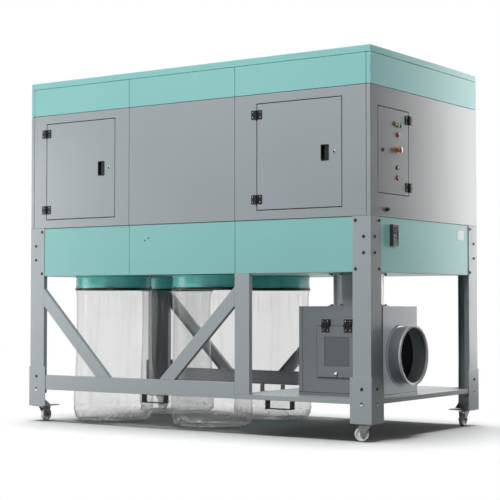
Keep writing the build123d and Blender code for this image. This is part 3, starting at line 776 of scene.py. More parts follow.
def hingeRow():
    # Door body, hinge origin on the sheet, side, way of the moving leaf, and stand-off of the fixed leaf
    s = hingeSettings
    rows = []
    for node in ("door_left", "door_right"):
        low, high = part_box(node)
        for z in (low.z + s["doorInset"], high.z - s["doorInset"]):
            rows.append((node, np.array((low.x - s["gap"] / 2, low.y, z)), "front", 1, 0.0))
    low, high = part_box("control_door")
    for z in (low.z + s["controlInset"], high.z - s["controlInset"]):
        rows.append(("control_door", np.array((high.x, high.y + s["gap"] / 2, z)), "right", -1, 0.0))
    low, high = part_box("inlet_hatch")
    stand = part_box("inlet_box")[0].y - low.y
    for x in (low.x + s["hatchInset"], high.x - s["hatchInset"]):
        rows.append(("inlet_hatch", np.array((x, low.y, high.z + s["gap"] / 2)), "hatch", 1, stand))
    return rows


def makeHinges():
    fixed, fixedScrews, moving, movingScrews = [], [], {}, {}
    for body, origin, side, way, stand in hingeRow():
        fixed.append(facing(hingeLeaf((0, 2), stand), origin, side, -way))
        fixedScrews.append(facing(hingeScrews(), origin, side, -way))
        moving.setdefault(body, []).append(facing(hingeLeaf((1,)), origin, side, way))
        movingScrews.setdefault(body, []).append(facing(hingeScrews(), origin, side, way))
    makePiece("fixed_hinge_leaves", joined(*fixed), finish["black"], "housing",
              ["hinge_leaves"])
    makePiece("fixed_hinge_screws", joined(*fixedScrews), finish["screw"], "housing")
    for body in moving:
        node = "hatch_fittings" if body == "inlet_hatch" else body + "_fittings"
        makePiece(body + "_hinges", joined(*moving[body]), finish["black"], body, [node])
        makePiece(body + "_hinge_screws", joined(*movingScrews[body]), finish["screw"], body)


makeHinges()
print("doors and hinges made")

# Flush pulls and locks on the front doors, and the lock of the control door


def flushPull():
    # A rounded bezel with a deep cup and a lever plate across its left half
    s = pullSettings
    wall, rim = s["wall"], 0.0012
    layers = [(0, 0)] + [(inset, s["proud"] + level) for inset, level in rimArc(rim)]
    layers += [(wall - inset, s["proud"] + level) for inset, level in rimArc(rim)[::-1]]
    layers += [(wall + 0.001, -s["cup"] + 0.004), (wall + 0.004, -s["cup"])]
    bezel = loft(np.array(outlineRings(s["width"], s["height"], 0.005, layers)), capLow=False)
    lever = slab(s["grip"], s["height"] - 2 * wall - 0.004, 0.002, 0.0035, 0.001)
    lever = shifted(lever, (s["width"] - s["grip"]) / 2 - wall - 0.001, 0, -0.004)
    ribs = [shifted(slab(s["grip"] - 0.004, 0.0022, 0.0009, 0.0012, 0.0006),
                    (s["width"] - s["grip"]) / 2 - wall - 0.001, up, -0.0006)
            for up in np.linspace(-0.028, 0.028, 8)]
    return joined(bezel, lever, *ribs)


def lockBarrel():
    # A stepped round lock with a sunken face
    s = pullSettings
    r, h = s["lockRadius"], s["lockProud"]
    ring = [(r, 0), (r, h - 0.001), (r - 0.001, h), (0.72 * r, h), (0.66 * r, h - 0.0012),
            (0.05 * r, h - 0.0012)]
    return lathe(ring, 36)


def makePulls():
    s = pullSettings
    for node in ("door_left", "door_right"):
        low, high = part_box(node)
        middle = (low.z + high.z) / 2
        origin = np.array((high.x - s["fromEdge"], low.y, middle))
        makePiece(node + "_pull", placed(flushPull(), origin, "front"), finish["black"], node)
        lockPlace = np.array((high.x - s["lockFromEdge"], low.y, middle))
        makePiece(node + "_lock", placed(lockBarrel(), lockPlace, "front"), finish["chrome"], node)
        r, h = s["lockRadius"], s["lockProud"]
        core = lathe([(0.64 * r, h - 0.0014), (0.64 * r, h - 0.0006), (0.30 * r, h - 0.0004),
                      (0.26 * r, h - 0.0010),
                      (0.05 * r, h - 0.0010)], 30)
        makePiece(node + "_keyhole", placed(core, lockPlace, "front"), finish["black"], node)
    low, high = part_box("control_door")
    lockPlace = np.array((high.x, low.y + s["controlLock"], (low.z + high.z) / 2))
    makePiece("control_lock", placed(lockBarrel(), lockPlace, "right"), finish["black"], "control_door")


makePulls()

# Lamps, push buttons and small fittings on the right end
panelSettings = {"bezel": 0.0145, "lamp": 0.0120, "button": 0.0088, "mushroom": 0.019, "bezelProud": 0.0055}


def bezelRing(inner):
    r, h = panelSettings["bezel"], panelSettings["bezelProud"]
    profile = [(r, 0), (r, 0.4 * h), (r - 0.0015, h), (inner + 0.001, h), (inner + 0.0002, h - 0.001),
               (inner + 0.0002, 0.0)]
    return lathe(profile, 40, capLow=False, capHigh=False)


def domed(radius, low, high, crown, count=36):
    # A round cap: straight side, then a quarter ellipse up to its crown
    angle = np.linspace(0, pi / 2, 7)[:-1]
    profile = [(radius, low), (radius, high)]
    profile += [(radius * cos(a), high + crown * sin(a)) for a in angle[1:]]
    return lathe(profile, count)


def centreOf(node):
    low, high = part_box(node)
    return np.array((high.x, (low.y + high.y) / 2, (low.z + high.z) / 2))


def makeControls():
    s = panelSettings
    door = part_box("control_door")[1].x
    lamps = {"red_lamps": ((0.286, 1.817), (0.318, 1.755)), "green_lamps": ((0.316, 1.813), (0.353, 1.814))}
    rings = []
    for node, colour, slot in (("red_lamps", "redLens", "red_plastic"),
                               ("green_lamps", "greenLens", "green_plastic")):
        origins = [at(plan["length"], y, z) for y, z in lamps[node]]
        lens = domed(s["lamp"], 0.0, 0.006, 0.0050)
        makePiece(node + "_lenses", repeated(lens, origins, "right"), finish[colour], "control_door",
                  [node])
        rings += [placed(bezelRing(s["lamp"]), origin, "right") for origin in origins]
    for node, colour, slot in (("start_button", "greenLens", "green_plastic"),
                               ("stop_button", "redLens", "red_plastic")):
        origin = centreOf(node)
        tip = origin[0] - door
        cap = lathe([(s["button"], -0.006), (s["button"], tip - 0.0012), (s["button"] - 0.0012, tip),
                     (s["button"] * 0.6, tip - 0.0005), (s["button"] * 0.1, tip - 0.0007)], 36)
        origin[0] = door
        makePiece(node + "_cap", placed(cap, origin, "right"), finish[colour], node, [node])
        rings.append(placed(bezelRing(s["button"] + 0.0003), origin, "right"))
    origin = centreOf("emergency_button")
    tip = origin[0] - door
    origin[0] = door
    r = s["mushroom"]
    head = [(s["button"] - 0.0005, -0.006), (s["button"] - 0.0005, tip - 0.012), (r - 0.003, tip - 0.0125),
            (r, tip - 0.010), (r, tip - 0.005), (r * 0.93, tip - 0.0022), (r * 0.7, tip - 0.0006),
            (r * 0.3, tip),
            (r * 0.05, tip)]
    makePiece("emergency_button_head", placed(lathe(head, 44), origin, "right"), finish["orange"],
              "emergency_button", ["emergency_button"])
    rings.append(placed(bezelRing(s["button"]), origin, "right"))
    legend = lathe([(0.0260, 0.0), (0.0260, 0.0010), (0.0254, 0.0016), (0.0130, 0.0016)], 44, False, False)
    makePiece("emergency_legend", placed(legend, origin, "right"), finish["mustard"], "control_door")
    makePiece("lamp_bezels", joined(*rings), finish["boltBlack"], "control_door")

    low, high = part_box("display_unit")
    width, height = high.y - low.y, high.z - low.z
    origin = np.array((low.x, (low.y + high.y) / 2, (low.z + high.z) / 2))
    case = dish(width, height, 0.004, high.x - low.x, 0.005, high.x - low.x - 0.003, 0.0014)
    makePiece("display_case", placed(case, origin, "right"), finish["boltBlack"], "housing",
              ["display_unit"])
    glass = shifted(slab(width - 0.016, height * 0.36, 0.002, 0.0012, 0.0005), 0, height * 0.22,
                    high.x - low.x - 0.003)
    makePiece("display_glass", placed(glass, origin, "right"), finish["screen"], "housing")
    keys = [shifted(domed(0.0042, 0, 0.0012, 0.0012, 20), across, up, high.x - low.x - 0.003)
            for across in (-0.016, 0.0, 0.016) for up in (-0.012, -0.030, -0.046)]
    makePiece("display_keys", placed(joined(*keys), origin, "right"), finish["grey"], "housing")

    gland = [(0.0125, 0), (0.0125, 0.004), (0.0110, 0.005), (0.0110, 0.012), (0.0085, 0.016),
             (0.0060, 0.0162),
             (0.0055, 0.010)]
    nut = lathe(gland, 12)
    makePiece("cable_gland", placed(nut, at(plan["length"], 0.185, 1.315), "right"), finish["black"],
              "housing",
              ["end_fittings"])
    face = plan["length"] - sheetSettings["bandInset"]
    bare = slab(0.090, 0.060, 0.004, 0.0016, 0.0006)
    makePiece("bare_plate", placed(bare, at(face, 1.137, 1.202), "right"), finish["plate"], "housing")
    rivets = [at(face + 0.0014, 1.137 + across, 1.202 + up)
              for across in (-0.040, 0.040) for up in (-0.025, 0.025)]
    makePiece("bare_plate_rivets", repeated(panHead(0.0022, 0.0012, 14), rivets, "right"), finish["zinc"])


makeControls()
print("controls made")

# Leg frame: welded copies with eased edges
easedNodes = {
    "front_legs": 0.0022, "rear_legs": 0.0022, "leg_feet": 0.0020, "bottom_beams": 0.0016,
    "mid_posts": 0.0016,
    "front_braces": 0.0016, "rear_braces": 0.0016, "shelf": 0.0016,
}
for nodeName, easing in easedNodes.items():
    dressNode(nodeName, finish["frame"], easing)
dressNode("fork_guides", finish["dark"], 0.0012)
dressNode("hopper_floor", finish["teal"], 0.0006)
dressNode("control_enclosure", finish["zinc"], 0.0008)
print("leg frame made")

# Bolts on the legs, feet and duct flanges, and rivets in the sheets
boltSettings = {"across": 0.0108, "head": 0.005, "washer": 0.0014, "footAcross": 0.060, "footUp": (0.295,),
                "legOuter": (0.100, (1.247, 0.972)), "legInner": (0.047, (1.155, 1.063)), "sleeve": 0.0043,
                "slot": (0.016, 0.027), "slotUp": 0.209}


def cornerPlaces(across, up, stand):
    # A bolt's place on both faces of all four legs, as {side: origins}
    length, depth = plan["length"], plan["depth"]
    places = {side: [] for side in ("front", "rear", "left", "right")}
    for height in up:
        for x in (across, length - across):
            places["front"].append(at(x, -stand, height))
            places["rear"].append(at(x, depth + stand, height))
        for y in (across, depth - across):
            places["left"].append(at(-stand, y, height))
            places["right"].append(at(length + stand, y, height))
    return places


def makeBolts():
    s = boltSettings
    bolt = hexHead(s["across"], s["head"], s["washer"])
    legBolts, footBolts, slots = [], [], []
    for across, up in (s["legOuter"], s["legInner"]):
        for side, origins in cornerPlaces(across, up, 0.0).items():
            legBolts.append(repeated(bolt, origins, side))
    for side, origins in cornerPlaces(s["footAcross"], s["footUp"], s["sleeve"]).items():
        footBolts.append(repeated(bolt, origins, side))
    # A long hole with a folded edge, a black plate inside it as painted shade, and a white bush in its lower
    # half
    width, height = s["slot"]
    rim = dish(width + 0.003, height + 0.003, width / 2 + 0.0014, 0.0010, 0.0015, 0.0002, 0.0004)
    hole = shifted(slab(width, height, width / 2 - 0.0001, 0.0003, 0.0001), 0, 0, 0.0003)
    bush = shifted(lathe([(0.0074, 0), (0.0074, 0.0010), (0.0066, 0.0016), (0.001, 0.0016)], 24), 0,
                   -0.0044, 0.0004)
    for side, origins in cornerPlaces(s["footAcross"], (s["slotUp"],), s["sleeve"]).items():
        slots.append((side, origins))
    makePiece("leg_bolts", joined(*legBolts), finish["boltBlack"], "housing")
    makePiece("foot_bolts", joined(*footBolts), finish["boltBlack"], "housing")
    makePiece("slot_rims", joined(*[repeated(rim, places, side) for side, places in slots]), finish["frame"],
              "housing")
    makePiece("slot_hole_shades", joined(*[repeated(hole, places, side) for side, places in slots]),
              finish["rubberAndShade"],
              "housing")
    makePiece("slot_bushes", joined(*[repeated(bush, places, side) for side, places in slots]),
              finish["nylon"],
              "housing")


def doorRivets(node, count):
    # Small rivets round a doorway, a little outside its edge
    low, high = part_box(node)
    out = 0.022
    share = np.linspace(0.06, 0.94, count)
    xs, zs = low.x + share * (high.x - low.x), low.z + share * (high.z - low.z)
    origins = [(x, z) for x in xs for z in (low.z - out, high.z + out)]
    origins += [(x, z) for z in zs[1:-1] for x in (low.x - out, high.x + out)]
    return [np.array((x, low.y, z)) for x, z in origins]


def makeRivets():
    rivet = panHead(0.0026, 0.0007, 14)
    origins = doorRivets("door_left", 4) + doorRivets("door_right", 4)
    makePiece("sheet_rivets", repeated(rivet, origins, "front"), finish["grey"], "housing")
    plug = lathe([(0.0050, 0), (0.0050, 0.0012), (0.0040, 0.0020), (0.0012, 0.0022)], 20)
    band = sheetSettings["bandInset"]
    plugs = [at(0.972, band, 1.171), at(1.000, band, 1.184)]
    makePiece("band_plugs", repeated(plug, plugs, "front"), finish["black"], "housing")


makeBolts()
makeRivets()
print("bolts and rivets made")

# Inlet box, its spigot and the riser duct
inletSettings = {"spigotRadius": 0.165, "wall": 0.003, "bead": 0.0075, "collar": 0.012, "ductRadius": 0.150,
                 "flange": 0.032, "flangeThickness": 0.004, "flangeBolts": 10, "plinth": 0.016, "lap": 0.026,
                 "gasket": 0.0026, "windowInset": 0.050, "windowDeep": 0.003,
                 "knobAcross": 0.136, "knobUp": 0.368}


def makeInlet():
    s = inletSettings
    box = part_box("inlet_box")
    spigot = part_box("inlet_spigot")
    centre = np.array((spigot[0].x, (spigot[0].y + spigot[1].y) / 2, (spigot[0].z + spigot[1].z) / 2))
    length = spigot[1].x - spigot[0].x
    r, wall, bead = s["spigotRadius"], s["wall"], s["bead"]
    # A pale bead round the spigot's mouth; its pale paint is a painted highlight along the rolled rim
    lip = [(r + bead * 0.15 + (bead + 0.0004) * sin(a), length - bead - (bead + 0.0004) * cos(a))
           for a in np.linspace(0, 2 * pi, 22)]
    makePiece("spigot_bead", placed(lathe(lip, 128, False, False), centre, "right"), finish["bead"],
              "housing")
    profile = [(r - wall, -0.004), (r + s["collar"], -0.0003), (r + s["collar"], 0.0025), (r + 0.004, 0.0032),
               (r, 0.007), (r, length - 2.2 * bead)]
    angle = np.linspace(-0.35 * pi, 0.85 * pi, 14)
    profile += [(r + bead * 0.15 + bead * sin(a + 0.1), length - bead - bead * cos(a + 0.35 * pi + 0.2))
                for a in angle]
    profile += [(r - wall, length - 0.002), (r - wall, -0.004)]
    # The spigot takes the darker spigot paint, painted shade for the shade it sits in
    makePiece("spigot_pipe", placed(lathe(profile, 128, False, False), centre, "right"), finish["spigot"],
              "housing", ["inlet_spigot"])

    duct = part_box("riser_duct")
    foot = np.array(((duct[0].x + duct[1].x) / 2, (duct[0].y + duct[1].y) / 2, duct[0].z))
    height = duct[1].z - duct[0].z
    radius, plate, out = s["ductRadius"], s["flangeThickness"], s["flange"]
    profile = [(radius - wall, 0), (radius + out, 0), (radius + out, plate), (radius + 0.003, plate),
               (radius, plate + 0.003), (radius, height - plate - 0.003), (radius + 0.003, height - plate),
               (radius + out, height - plate), (radius + out, height), (radius - wall, height),
               (radius - wall, 0)]
    makePiece("duct_pipe", placed(lathe(profile, 96, False, False), foot, "top"), finish["duct"], "housing",
              ["riser_duct"])
    angle = np.arange(s["flangeBolts"]) * 2 * pi / s["flangeBolts"] + 0.2
    circle = np.stack([np.cos(angle), np.sin(angle), np.zeros_like(angle)], axis=1) * (radius + out * 0.55)
    bolt = hexHead(0.013, 0.006, 0.0015)
    low = repeated(bolt, circle + foot + (0, 0, plate), "top")
    high = repeated(bolt, circle + foot + (0, 0, height - plate), "bottom")
    makePiece("duct_bolts", joined(low, high), finish["black"], "housing")

    # The box and its hatch take the darker box paint, painted shade for the shade under the housing
    dressNode("inlet_box", finish["box"], 0.0016)
    dressNode("inlet_hatch", finish["box"], 0.0012)
    size = (box[1].x - box[0].x, box[1].y - box[0].y)
    middle = np.array(((box[0].x + box[1].x) / 2, (box[0].y + box[1].y) / 2, box[0].z))
    plinth, proud = s["plinth"], 0.0025
    layers = [(-proud, 0), (-proud, plinth - 0.001), (0.001 - proud, plinth), (0.0, plinth)]
    skirt = loft(np.array(outlineRings(*size, 0.004, layers)), False, False)
    makePiece("inlet_plinth", placed(skirt, middle, "top"), finish["box"], "housing", (), 30,
              0.001)
    # Black strips over the plinth, down the front's lap joint and round the hatch. Over the plinth and round
    # the hatch they are painted shade for the shadow gaps there; down the lap they are a dark joint
    bead = [(0.0005, plinth), (-0.0012, plinth), (-0.0012, plinth + 0.0030), (0.0005, plinth + 0.0030)]
    bead = placed(loft(np.array(outlineRings(*size, 0.004, bead)), False, False, closed=True), middle, "top")
    tall = box[1].z - box[0].z - plinth
    lap = placed(slab(0.0024, tall, 0.0010, 0.0010, 0.0004),
                 (box[0].x + s["lap"], box[0].y, box[0].z + plinth + tall / 2), "front")
    makePiece("inlet_sealant_and_shade", joined(bead, lap), finish["rubberAndShade"], "housing")
    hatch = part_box("inlet_hatch")
    hatchSize = (hatch[1].x - hatch[0].x, hatch[1].z - hatch[0].z)
    # The ring round the hatch is a black strip, painted shade in the gap at its edge
    width, back = s["gasket"], box[0].y - hatch[0].y - 0.0004
    layers = [(0.0002, -back), (-width, -back), (-width, -0.0012), (0.0002, -0.0012)]
    ring = loft(np.array(outlineRings(*hatchSize, 0.003, layers)), False, False, closed=True)
    hatchFace = np.array(((hatch[0].x + hatch[1].x) / 2, hatch[0].y, (hatch[0].z + hatch[1].z) / 2))
    makePiece("hatch_shade_gasket", placed(ring, hatchFace, "front"), finish["rubberAndShade"], "inlet_hatch")

    # The recessed window of the hatch, a plate just over the floor of its recess, near black as painted shade
    # in the recess
    window = (hatchSize[0] - 2 * s["windowInset"] - 0.001, hatchSize[1] - 2.5 * s["windowInset"] - 0.001)
    makePiece("hatch_window_shade", placed(slab(*window, 0.0010, 0.0006, 0.0002),
                                     hatchFace + (0, s["windowDeep"], 0), "front"),
              finish["window"], "inlet_hatch")

    knob = [(0.0050, 0), (0.0050, 0.004), (0.0080, 0.007), (0.0088, 0.011), (0.0080, 0.0145), (0.005, 0.016),
            (0.001, 0.0162)]
    knobPlace = np.array((hatch[0].x + s["knobAcross"], hatch[0].y, s["knobUp"]))
    makePiece("hatch_knob", placed(lathe(knob, 36), knobPlace, "front"), finish["chrome"], "inlet_hatch")


makeInlet()
print("inlet made")

# Bag collars, clamp bands and film bags
bagSettings = {
    "columns": 300, "rows": 210, "seed": 41,
    "profile": [(0.2526, 0.888), (0.2526, 0.874), (0.2524, 0.862), (0.2490, 0.850), (0.2455, 0.815),
                (0.2440, 0.72), (0.2440, 0.58), (0.2470, 0.44), (0.2530, 0.31), (0.2590, 0.20),
                (0.2620, 0.12), (0.2600, 0.065),
                (0.2520, 0.030), (0.2340, 0.0165), (0.1850, 0.0150), (0.1200, 0.0165), (0.0500, 0.0160),
                (0.0040, 0.017)],
    "neck": 0.862, "sole": 0.0115, "pleats": (23, 37, 51), "creases": 5,
    "folds": ((2, 0.0040), (3, 0.0035), (5, 0.0020), (8, 0.0008)),
    "crumples": [(0.20, 0.7), (0.12, 1.0), (0.080, 1.2), (0.055, 1.0), (0.036, 0.7)],
}
collarSettings = {"radius": 0.250, "wall": 0.003, "bead": 0.0035}
clampSettings = {"width": 0.015, "sheet": 0.0022, "latch": (0.046, 0.018), "latchTurn": -62.0}


def bagShape(seed):
    # Radius and height follow a smooth profile. Pleats under the clamp, slow folds down the wall and
    # sharp crumples near the foot are added to the radius, each by its own share of the height.
    s = bagSettings
    generator = np.random.default_rng(seed)
    profile = smoothCurve(s["profile"], s["rows"])
    angle = np.arange(s["columns"]) * 2 * pi / s["columns"]
    radius = np.repeat(profile[:, :1], s["columns"], axis=1)
    height = np.repeat(profile[:, 1:], s["columns"], axis=1)
    turn = np.repeat(angle[None], s["rows"], axis=0)
    wall = np.stack([0.25 * np.cos(turn), 0.25 * np.sin(turn), height], axis=-1)
    below = np.clip((s["neck"] - height) / 0.05, 0, 1)
    upper = below * np.exp(-((0.84 - height).clip(0) / 0.13) ** 2)
    lower = np.clip((0.15 - height) / 0.10, 0, 1) ** 1.3
    middle = below * (1 - 0.6 * lower)
    sole = np.clip((0.05 - height) / 0.03, 0, 1) * np.clip(radius / 0.2, 0, 1)
    pleats = sum(np.sin(count * turn + generator.uniform(0, 2 * pi) + 5 * height)
                 for count in s["pleats"]) / 3
    folds = np.zeros_like(turn)
    for count, size in s["folds"]:
        lean = generator.uniform(-1.6, 1.6)
        folds += size * np.sin(count * turn + lean * count * height + generator.uniform(0, 2 * pi))
    creases = np.zeros_like(turn)
    for line in range(s["creases"]):
        centre = generator.uniform(0, 2 * pi)
        lean = generator.uniform(-0.5, 0.5)
        distance = np.angle(np.exp(1j * (turn - centre - lean * (height - 0.45))))
        creases -= generator.uniform(0.002, 0.0045) * np.exp(-np.abs(distance) / 0.035)
    warped = wall + 0.010 * np.sin(wall[..., [1, 2, 0]] * 42 + generator.uniform(0, 2 * pi, 3))
    crush = ripple(warped * (1, 1, 0.8), s["crumples"], generator, sharp=True)
    radius = radius + 0.0014 * upper * pleats + middle * (folds + creases)
    radius = radius + lower * (0.0036 * crush - 0.002)
    height = height + 0.0025 * sole * crush
    height = np.maximum(height, s["sole"])
    points = np.stack([radius * np.cos(turn), radius * np.sin(turn), height], axis=-1)
    points, faces = loft(points[::-1])
    # Painted highlights: a mask that is high on crumple crests near the foot, on pleat crests under the clamp
    # and along the creases
    paintedHighlightMask = np.clip(lower * np.clip((crush - 0.5) * 0.9, 0, 1) + 0.3 * upper * np.clip(pleats, 0, 1)
                   + middle * np.clip(-creases / 0.005, 0, 1) * 0.4, 0, 1)
    return (points, faces), paintedHighlightMask[::-1].ravel(), lower[::-1].ravel()


def makeBags():
    latch = slab(*clampSettings["latch"], 0.003, 0.007, 0.0012)
    collars, clamps, latches = [], [], []
    for number in range(1, 5):
        corner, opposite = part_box(f"dust_bag_{number}")
        centre = np.array(((corner.x + opposite.x) / 2, (corner.y + opposite.y) / 2, 0))
        shape, paintedHighlightMask, low = bagShape(bagSettings["seed"] + number)
        bag = makePiece(f"film_bag_{number}", (shape[0] + centre, shape[1]), finish["film"], "housing",
                        [f"dust_bag_{number}"], 60, flat=False)
        # The painted highlight mask and the foot's share are stored on the points for the film's shader
        for attribute, values in (("paintedHighlight", paintedHighlightMask), ("low", low)):
            layer = bag.data.attributes.new(attribute, "FLOAT", "POINT")
            layer.data.foreach_set("value", values.astype(np.float32))
        c = collarSettings
        bottom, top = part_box("bag_collars")[0].z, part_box("bag_collars")[1].z
        r, wall = c["radius"], c["wall"]
        profile = [(r - wall, bottom), (r, bottom), (r, top - 0.012), (r + c["bead"], top - 0.008),
                   (r + c["bead"], top - 0.004), (r, top), (r - wall, top), (r - wall, bottom)]
        collars.append(placed(lathe(profile, 96, False, False), centre, "top"))
        inner = r + 0.0033
        outer = inner + clampSettings["sheet"]
        under = bottom + 0.0002
        over = bottom + clampSettings["width"]
        band = [(inner, under), (outer - 0.0004, under), (outer, under + 0.0012), (outer, over - 0.0012),
                (outer - 0.0004, over), (inner, over), (inner, under)]
        clamps.append(placed(lathe(band, 128, False, False), centre, "top"))
        turn = radians(clampSettings["latchTurn"] + 7 * number)
        out = np.array((cos(turn), sin(turn), 0))
        along = np.array((-sin(turn), cos(turn), 0))
        latchPoints = latch[0] @ np.array((along, (0, 0, 1), out)) + centre + out * (outer - 0.001)
        latches.append((latchPoints + (0, 0, (under + over) / 2), latch[1]))
    makePiece("collar_rings", joined(*collars), finish["collar"], "housing", ["bag_collars"])
    makePiece("clamp_bands", joined(*clamps), finish["black"], "housing", ["bag_clamps"])
    makePiece("clamp_latches", joined(*latches), finish["boltBlack"], "housing")


makeBags()
print("bags made")

# Casters: white nylon wheels in plated forks
wheelSettings = {"radius": 0.040, "half": 0.012, "hub": 0.012, "hubHalf": 0.0165, "bore": 0.0052,
                 "nutOut": 0.0248}


def wheelShape():
    # Tread with rounded shoulders, a sunken web with a raised hub, carried round the axle
    s = wheelSettings
    r, half = s["radius"], s["half"]
    angle = np.linspace(0, pi / 2, 5)
    shoulder = [(r - 0.003 + 0.003 * sin(a), half - 0.003 + 0.003 * cos(a)) for a in angle]
    side = [(s["bore"], s["hubHalf"]), (s["hub"] - 0.001, s["hubHalf"]), (s["hub"], s["hubHalf"] - 0.001),
            (s["hub"] + 0.001, 0.006), (r - 0.010, 0.006), (r - 0.0085, half - 0.0005), (r - 0.007, half)]
    upper = side + shoulder
    lower = [(radius, -level) for radius, level in upper[::-1]]
    profile = upper + [(r, 0.0)] + lower + [(s["bore"], s["hubHalf"])]
    return lathe(profile[::-1], 72, False, False)


def makeCasters():
    for joint in frame["joints"]:
        body = joint["child"]
        if body.startswith("caster_wheel"):
            axis = np.array(joint["axis"], float)
            across = np.cross(axis, (0, 0, 1))
            shape = turned(wheelShape(), across, (0, 0, 1), axis)
            if np.linalg.det(np.array((across, (0, 0, 1), axis))) < 0:
                shape = (shape[0], [face[::-1] for face in shape[1]])
            makePiece(body + "_tread", (shape[0] + np.array(joint["pos_m"]), shape[1]), finish["nylon"], body,
                      [body])
            fork = joint["parent"]
            bolt = hexHead(0.011, 0.005, 0.0012)
            nuts = []
            for way in (-1, 1):
                basis = np.array((across * way, (0, 0, 1), axis * way))
                points = bolt[0] @ basis + np.array(joint["pos_m"]) + axis * way * wheelSettings["nutOut"]
                faces = bolt[1] if np.linalg.det(basis) > 0 else [face[::-1] for face in bolt[1]]
                nuts.append((points, faces))
            makePiece(fork + "_nuts", joined(*nuts), finish["forkSteel"], fork)
            dressNode(fork, finish["forkSteel"], 0.0008)


makeCasters()
print("casters made")

# Studio: a pale floor that fades into the white background, soft lamps, and one sun for the floor alone
stageSettings = {"floorSize": 9.0, "fadeStart": 0.40, "fadeEnd": 0.95, "shadowShift": (0.12, 0.0, 0),
                 "floor": (0.925, 0.925, 0.925), "bounce": (0.11, 0.11, 0.11), "ambient": 0.055,
                 "flagFrom": (3.74, 2.56), "flagTo": (6.6, 0.2), "flagHeight": 3.6}
lampSettings = {
    "key": {"place": at(2.1, -5.6, 6.2), "aim": at(1.6, 0.4, 0.8), "size": (4.0, 3.2), "watts": 548,
            "colour": (0.97, 0.99, 1.0)},
    "leftCard": {"place": at(-2.5, -1.8, 1.0), "aim": at(0.3, 0.1, 0.7), "size": (1.8, 2.6), "watts": 66},
    "rightCard": {"place": at(2.96, 2.86, 1.66), "aim": at(2.66, 0.95, 1.45), "size": (1.3, 2.8),
                  "watts": 66},
    "bandFill": {"place": at(5.6, 0.05, 2.4), "aim": at(2.6, 0.7, 1.6), "size": (1.0, 1.6), "watts": 31},
    "boxFill": {"place": at(5.6, 0.05, 0.6), "aim": at(2.2, 0.6, 0.6), "size": (1.0, 1.0), "watts": 88},
    "collarFill": {"place": at(0.8, -3.6, 0.5), "aim": at(1.0, 0.4, 0.95), "size": (1.6, 0.8), "watts": 18},
    "top": {"place": at(1.3, 0.7, 9.0), "aim": at(1.3, 0.7, 0), "size": (3.0, 3.0), "watts": 260},
    "rear": {"place": at(-1.5, 7.0, 4.0), "aim": at(1.0, 1.0, 1.1), "size": (5.0, 3.5), "watts": 110},
}
sunSettings = {"strength": 3.45, "spread": 33.0, "lean": (-2.5, -4.5)}


def makeLamp(name, place, aim, size, watts, colour=(1, 1, 1)):
    data = bpy.data.lights.new(name, "AREA")
    data.shape = "RECTANGLE"
    data.size, data.size_y = size
    data.energy = watts
    data.color = colour
    lamp = bpy.data.objects.new(name, data)
    lamp.location = place
    lamp.rotation_euler = Vector(aim - place).to_track_quat("-Z", "Y").to_euler()
    bpy.context.scene.collection.objects.link(lamp)
    return lamp


def makeSun(name, strength, spread, lean):
    # Shines straight down, leant by so many degrees about the length and the depth
    data = bpy.data.lights.new(name, "SUN")
    data.energy = strength
    data.angle = radians(spread)
    sun = bpy.data.objects.new(name, data)
    sun.location = at(plan["length"] / 2, plan["depth"] / 2, 6.0)
    sun.rotation_euler = (radians(lean[0]), radians(lean[1]), 0)
    bpy.context.scene.collection.objects.link(sun)
    return sun


def linkLamp(lamp, objects, state):
    # INCLUDE lights these objects alone, EXCLUDE lights everything but them
    receivers = bpy.data.collections.new(lamp.name + "Receivers")
    for number, receiver in enumerate(objects):
        receivers.objects.link(receiver)
        receivers.collection_objects[number].light_linking.link_state = state
    lamp.light_linking.receiver_collection = receivers


def seenRays(tree):
    # 1 where a surface is seen directly, in a reflection or through film, 0 where it only lights the object
    path = addNode(tree, "ShaderNodeLightPath").outputs
    seen = addNode(tree, "ShaderNodeMath", {0: path["Is Camera Ray"], 1: path["Is Glossy Ray"]},
                   operation="MAXIMUM")
    return addNode(tree, "ShaderNodeMath", {0: seen.outputs[0], 1: path["Is Transmission Ray"]},
                   operation="MAXIMUM").outputs[0]


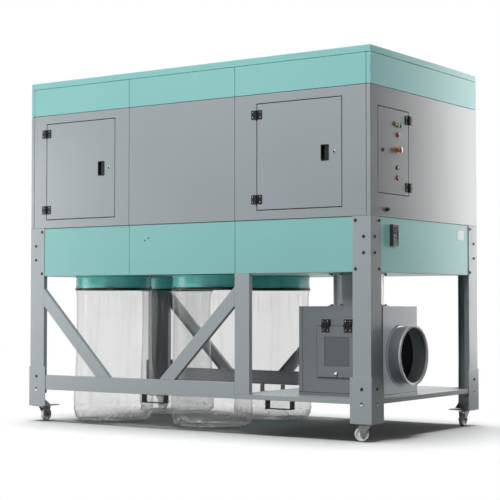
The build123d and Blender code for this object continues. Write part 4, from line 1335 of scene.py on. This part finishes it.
def makeStage():
    size = stageSettings["floorSize"]
    angle = np.arange(64) * 2 * pi / 64
    points = np.stack([size * np.cos(angle), size * np.sin(angle), np.zeros(64)], axis=1)
    points += at(plan["length"] / 2, plan["depth"] / 2, 0)
    material, tree, shader = shaderTree("floorPaper")
    seen = seenRays(tree)
    tree.links.new(blendColour(tree, seen, stageSettings["bounce"], stageSettings["floor"]),
                   shader.inputs["Base Color"])
    shader.inputs["Roughness"].default_value = 0.7
    shader.inputs["Specular IOR Level"].default_value = 0.15
    # How far a point lies outside the machine's footprint sets how much of the white shows
    place = addNode(tree, "ShaderNodeTexCoord").outputs["Object"]
    place = addNode(tree, "ShaderNodeVectorMath", {0: place, 1: stageSettings["shadowShift"]},
                    operation="SUBTRACT").outputs[0]
    folded = addNode(tree, "ShaderNodeVectorMath", {0: place}, operation="ABSOLUTE").outputs[0]
    foot = (plan["length"] / 2, plan["depth"] / 2, 0)
    beyond = addNode(tree, "ShaderNodeVectorMath", {0: folded, 1: foot}, operation="SUBTRACT").outputs[0]
    beyond = addNode(tree, "ShaderNodeVectorMath", {0: beyond, 1: (0, 0, 0)}, operation="MAXIMUM").outputs[0]
    reach = addNode(tree, "ShaderNodeVectorMath", {0: beyond}, operation="LENGTH").outputs["Value"]
    fade = ranged(tree, reach, 0, 1, stageSettings["fadeStart"], stageSettings["fadeEnd"])
    hidden = addNode(tree, "ShaderNodeMath", {0: fade, 1: seen}, operation="MULTIPLY").outputs[0]
    tree.links.new(ranged(tree, hidden, 1, 0, 0, 1), shader.inputs["Alpha"])
    mesh = bpy.data.meshes.new("floor")
    mesh.from_pydata(points.tolist(), [], [list(range(64))])
    mesh.materials.append(material)
    ground = bpy.data.objects.new("floor", mesh)
    bpy.context.scene.collection.objects.link(ground)

    # A black flag beside the right card, which the near edge of the right end reflects
    (x0, y0), (x1, y1) = stageSettings["flagFrom"], stageSettings["flagTo"]
    height = stageSettings["flagHeight"]
    mesh = bpy.data.meshes.new("blackFlag")
    corners = [at(x0, y0, 0.0), at(x1, y1, 0.0), at(x1, y1, height), at(x0, y0, height)]
    mesh.from_pydata([corner.tolist() for corner in corners], [], [(3, 2, 1, 0)])
    mesh.materials.append(finish["rubberAndShade"])
    flag = bpy.data.objects.new("blackFlag", mesh)
    bpy.context.scene.collection.objects.link(flag)
    flag.visible_camera = False

    world = bpy.data.worlds.new("studio")
    bpy.context.scene.world = world
    world.use_nodes = True
    tree = world.node_tree
    background = tree.nodes["Background"]
    background.inputs["Color"].default_value = (1, 1, 1, 1)
    tree.links.new(ranged(tree, seenRays(tree), stageSettings["ambient"], 1.0, 0, 1),
                   background.inputs["Strength"])
    fills = {"bandFill": ("upper_band_sheets", "lower_band_sheets", "roof_lid"),
             "boxFill": ("inlet_box_eased", "inlet_plinth", "spigot_pipe"),
             "collarFill": ("collar_rings",)}
    for name, values in lampSettings.items():
        lamp = makeLamp(name, **values)
        if name in fills:
            linkLamp(lamp, [bpy.data.objects[piece] for piece in fills[name]], "INCLUDE")
        else:
            linkLamp(lamp, [ground], "EXCLUDE")
    linkLamp(makeSun("floorSun", **sunSettings), [ground], "INCLUDE")


makeStage()
bpy.context.scene.view_settings.view_transform = "Standard"
print("studio made")
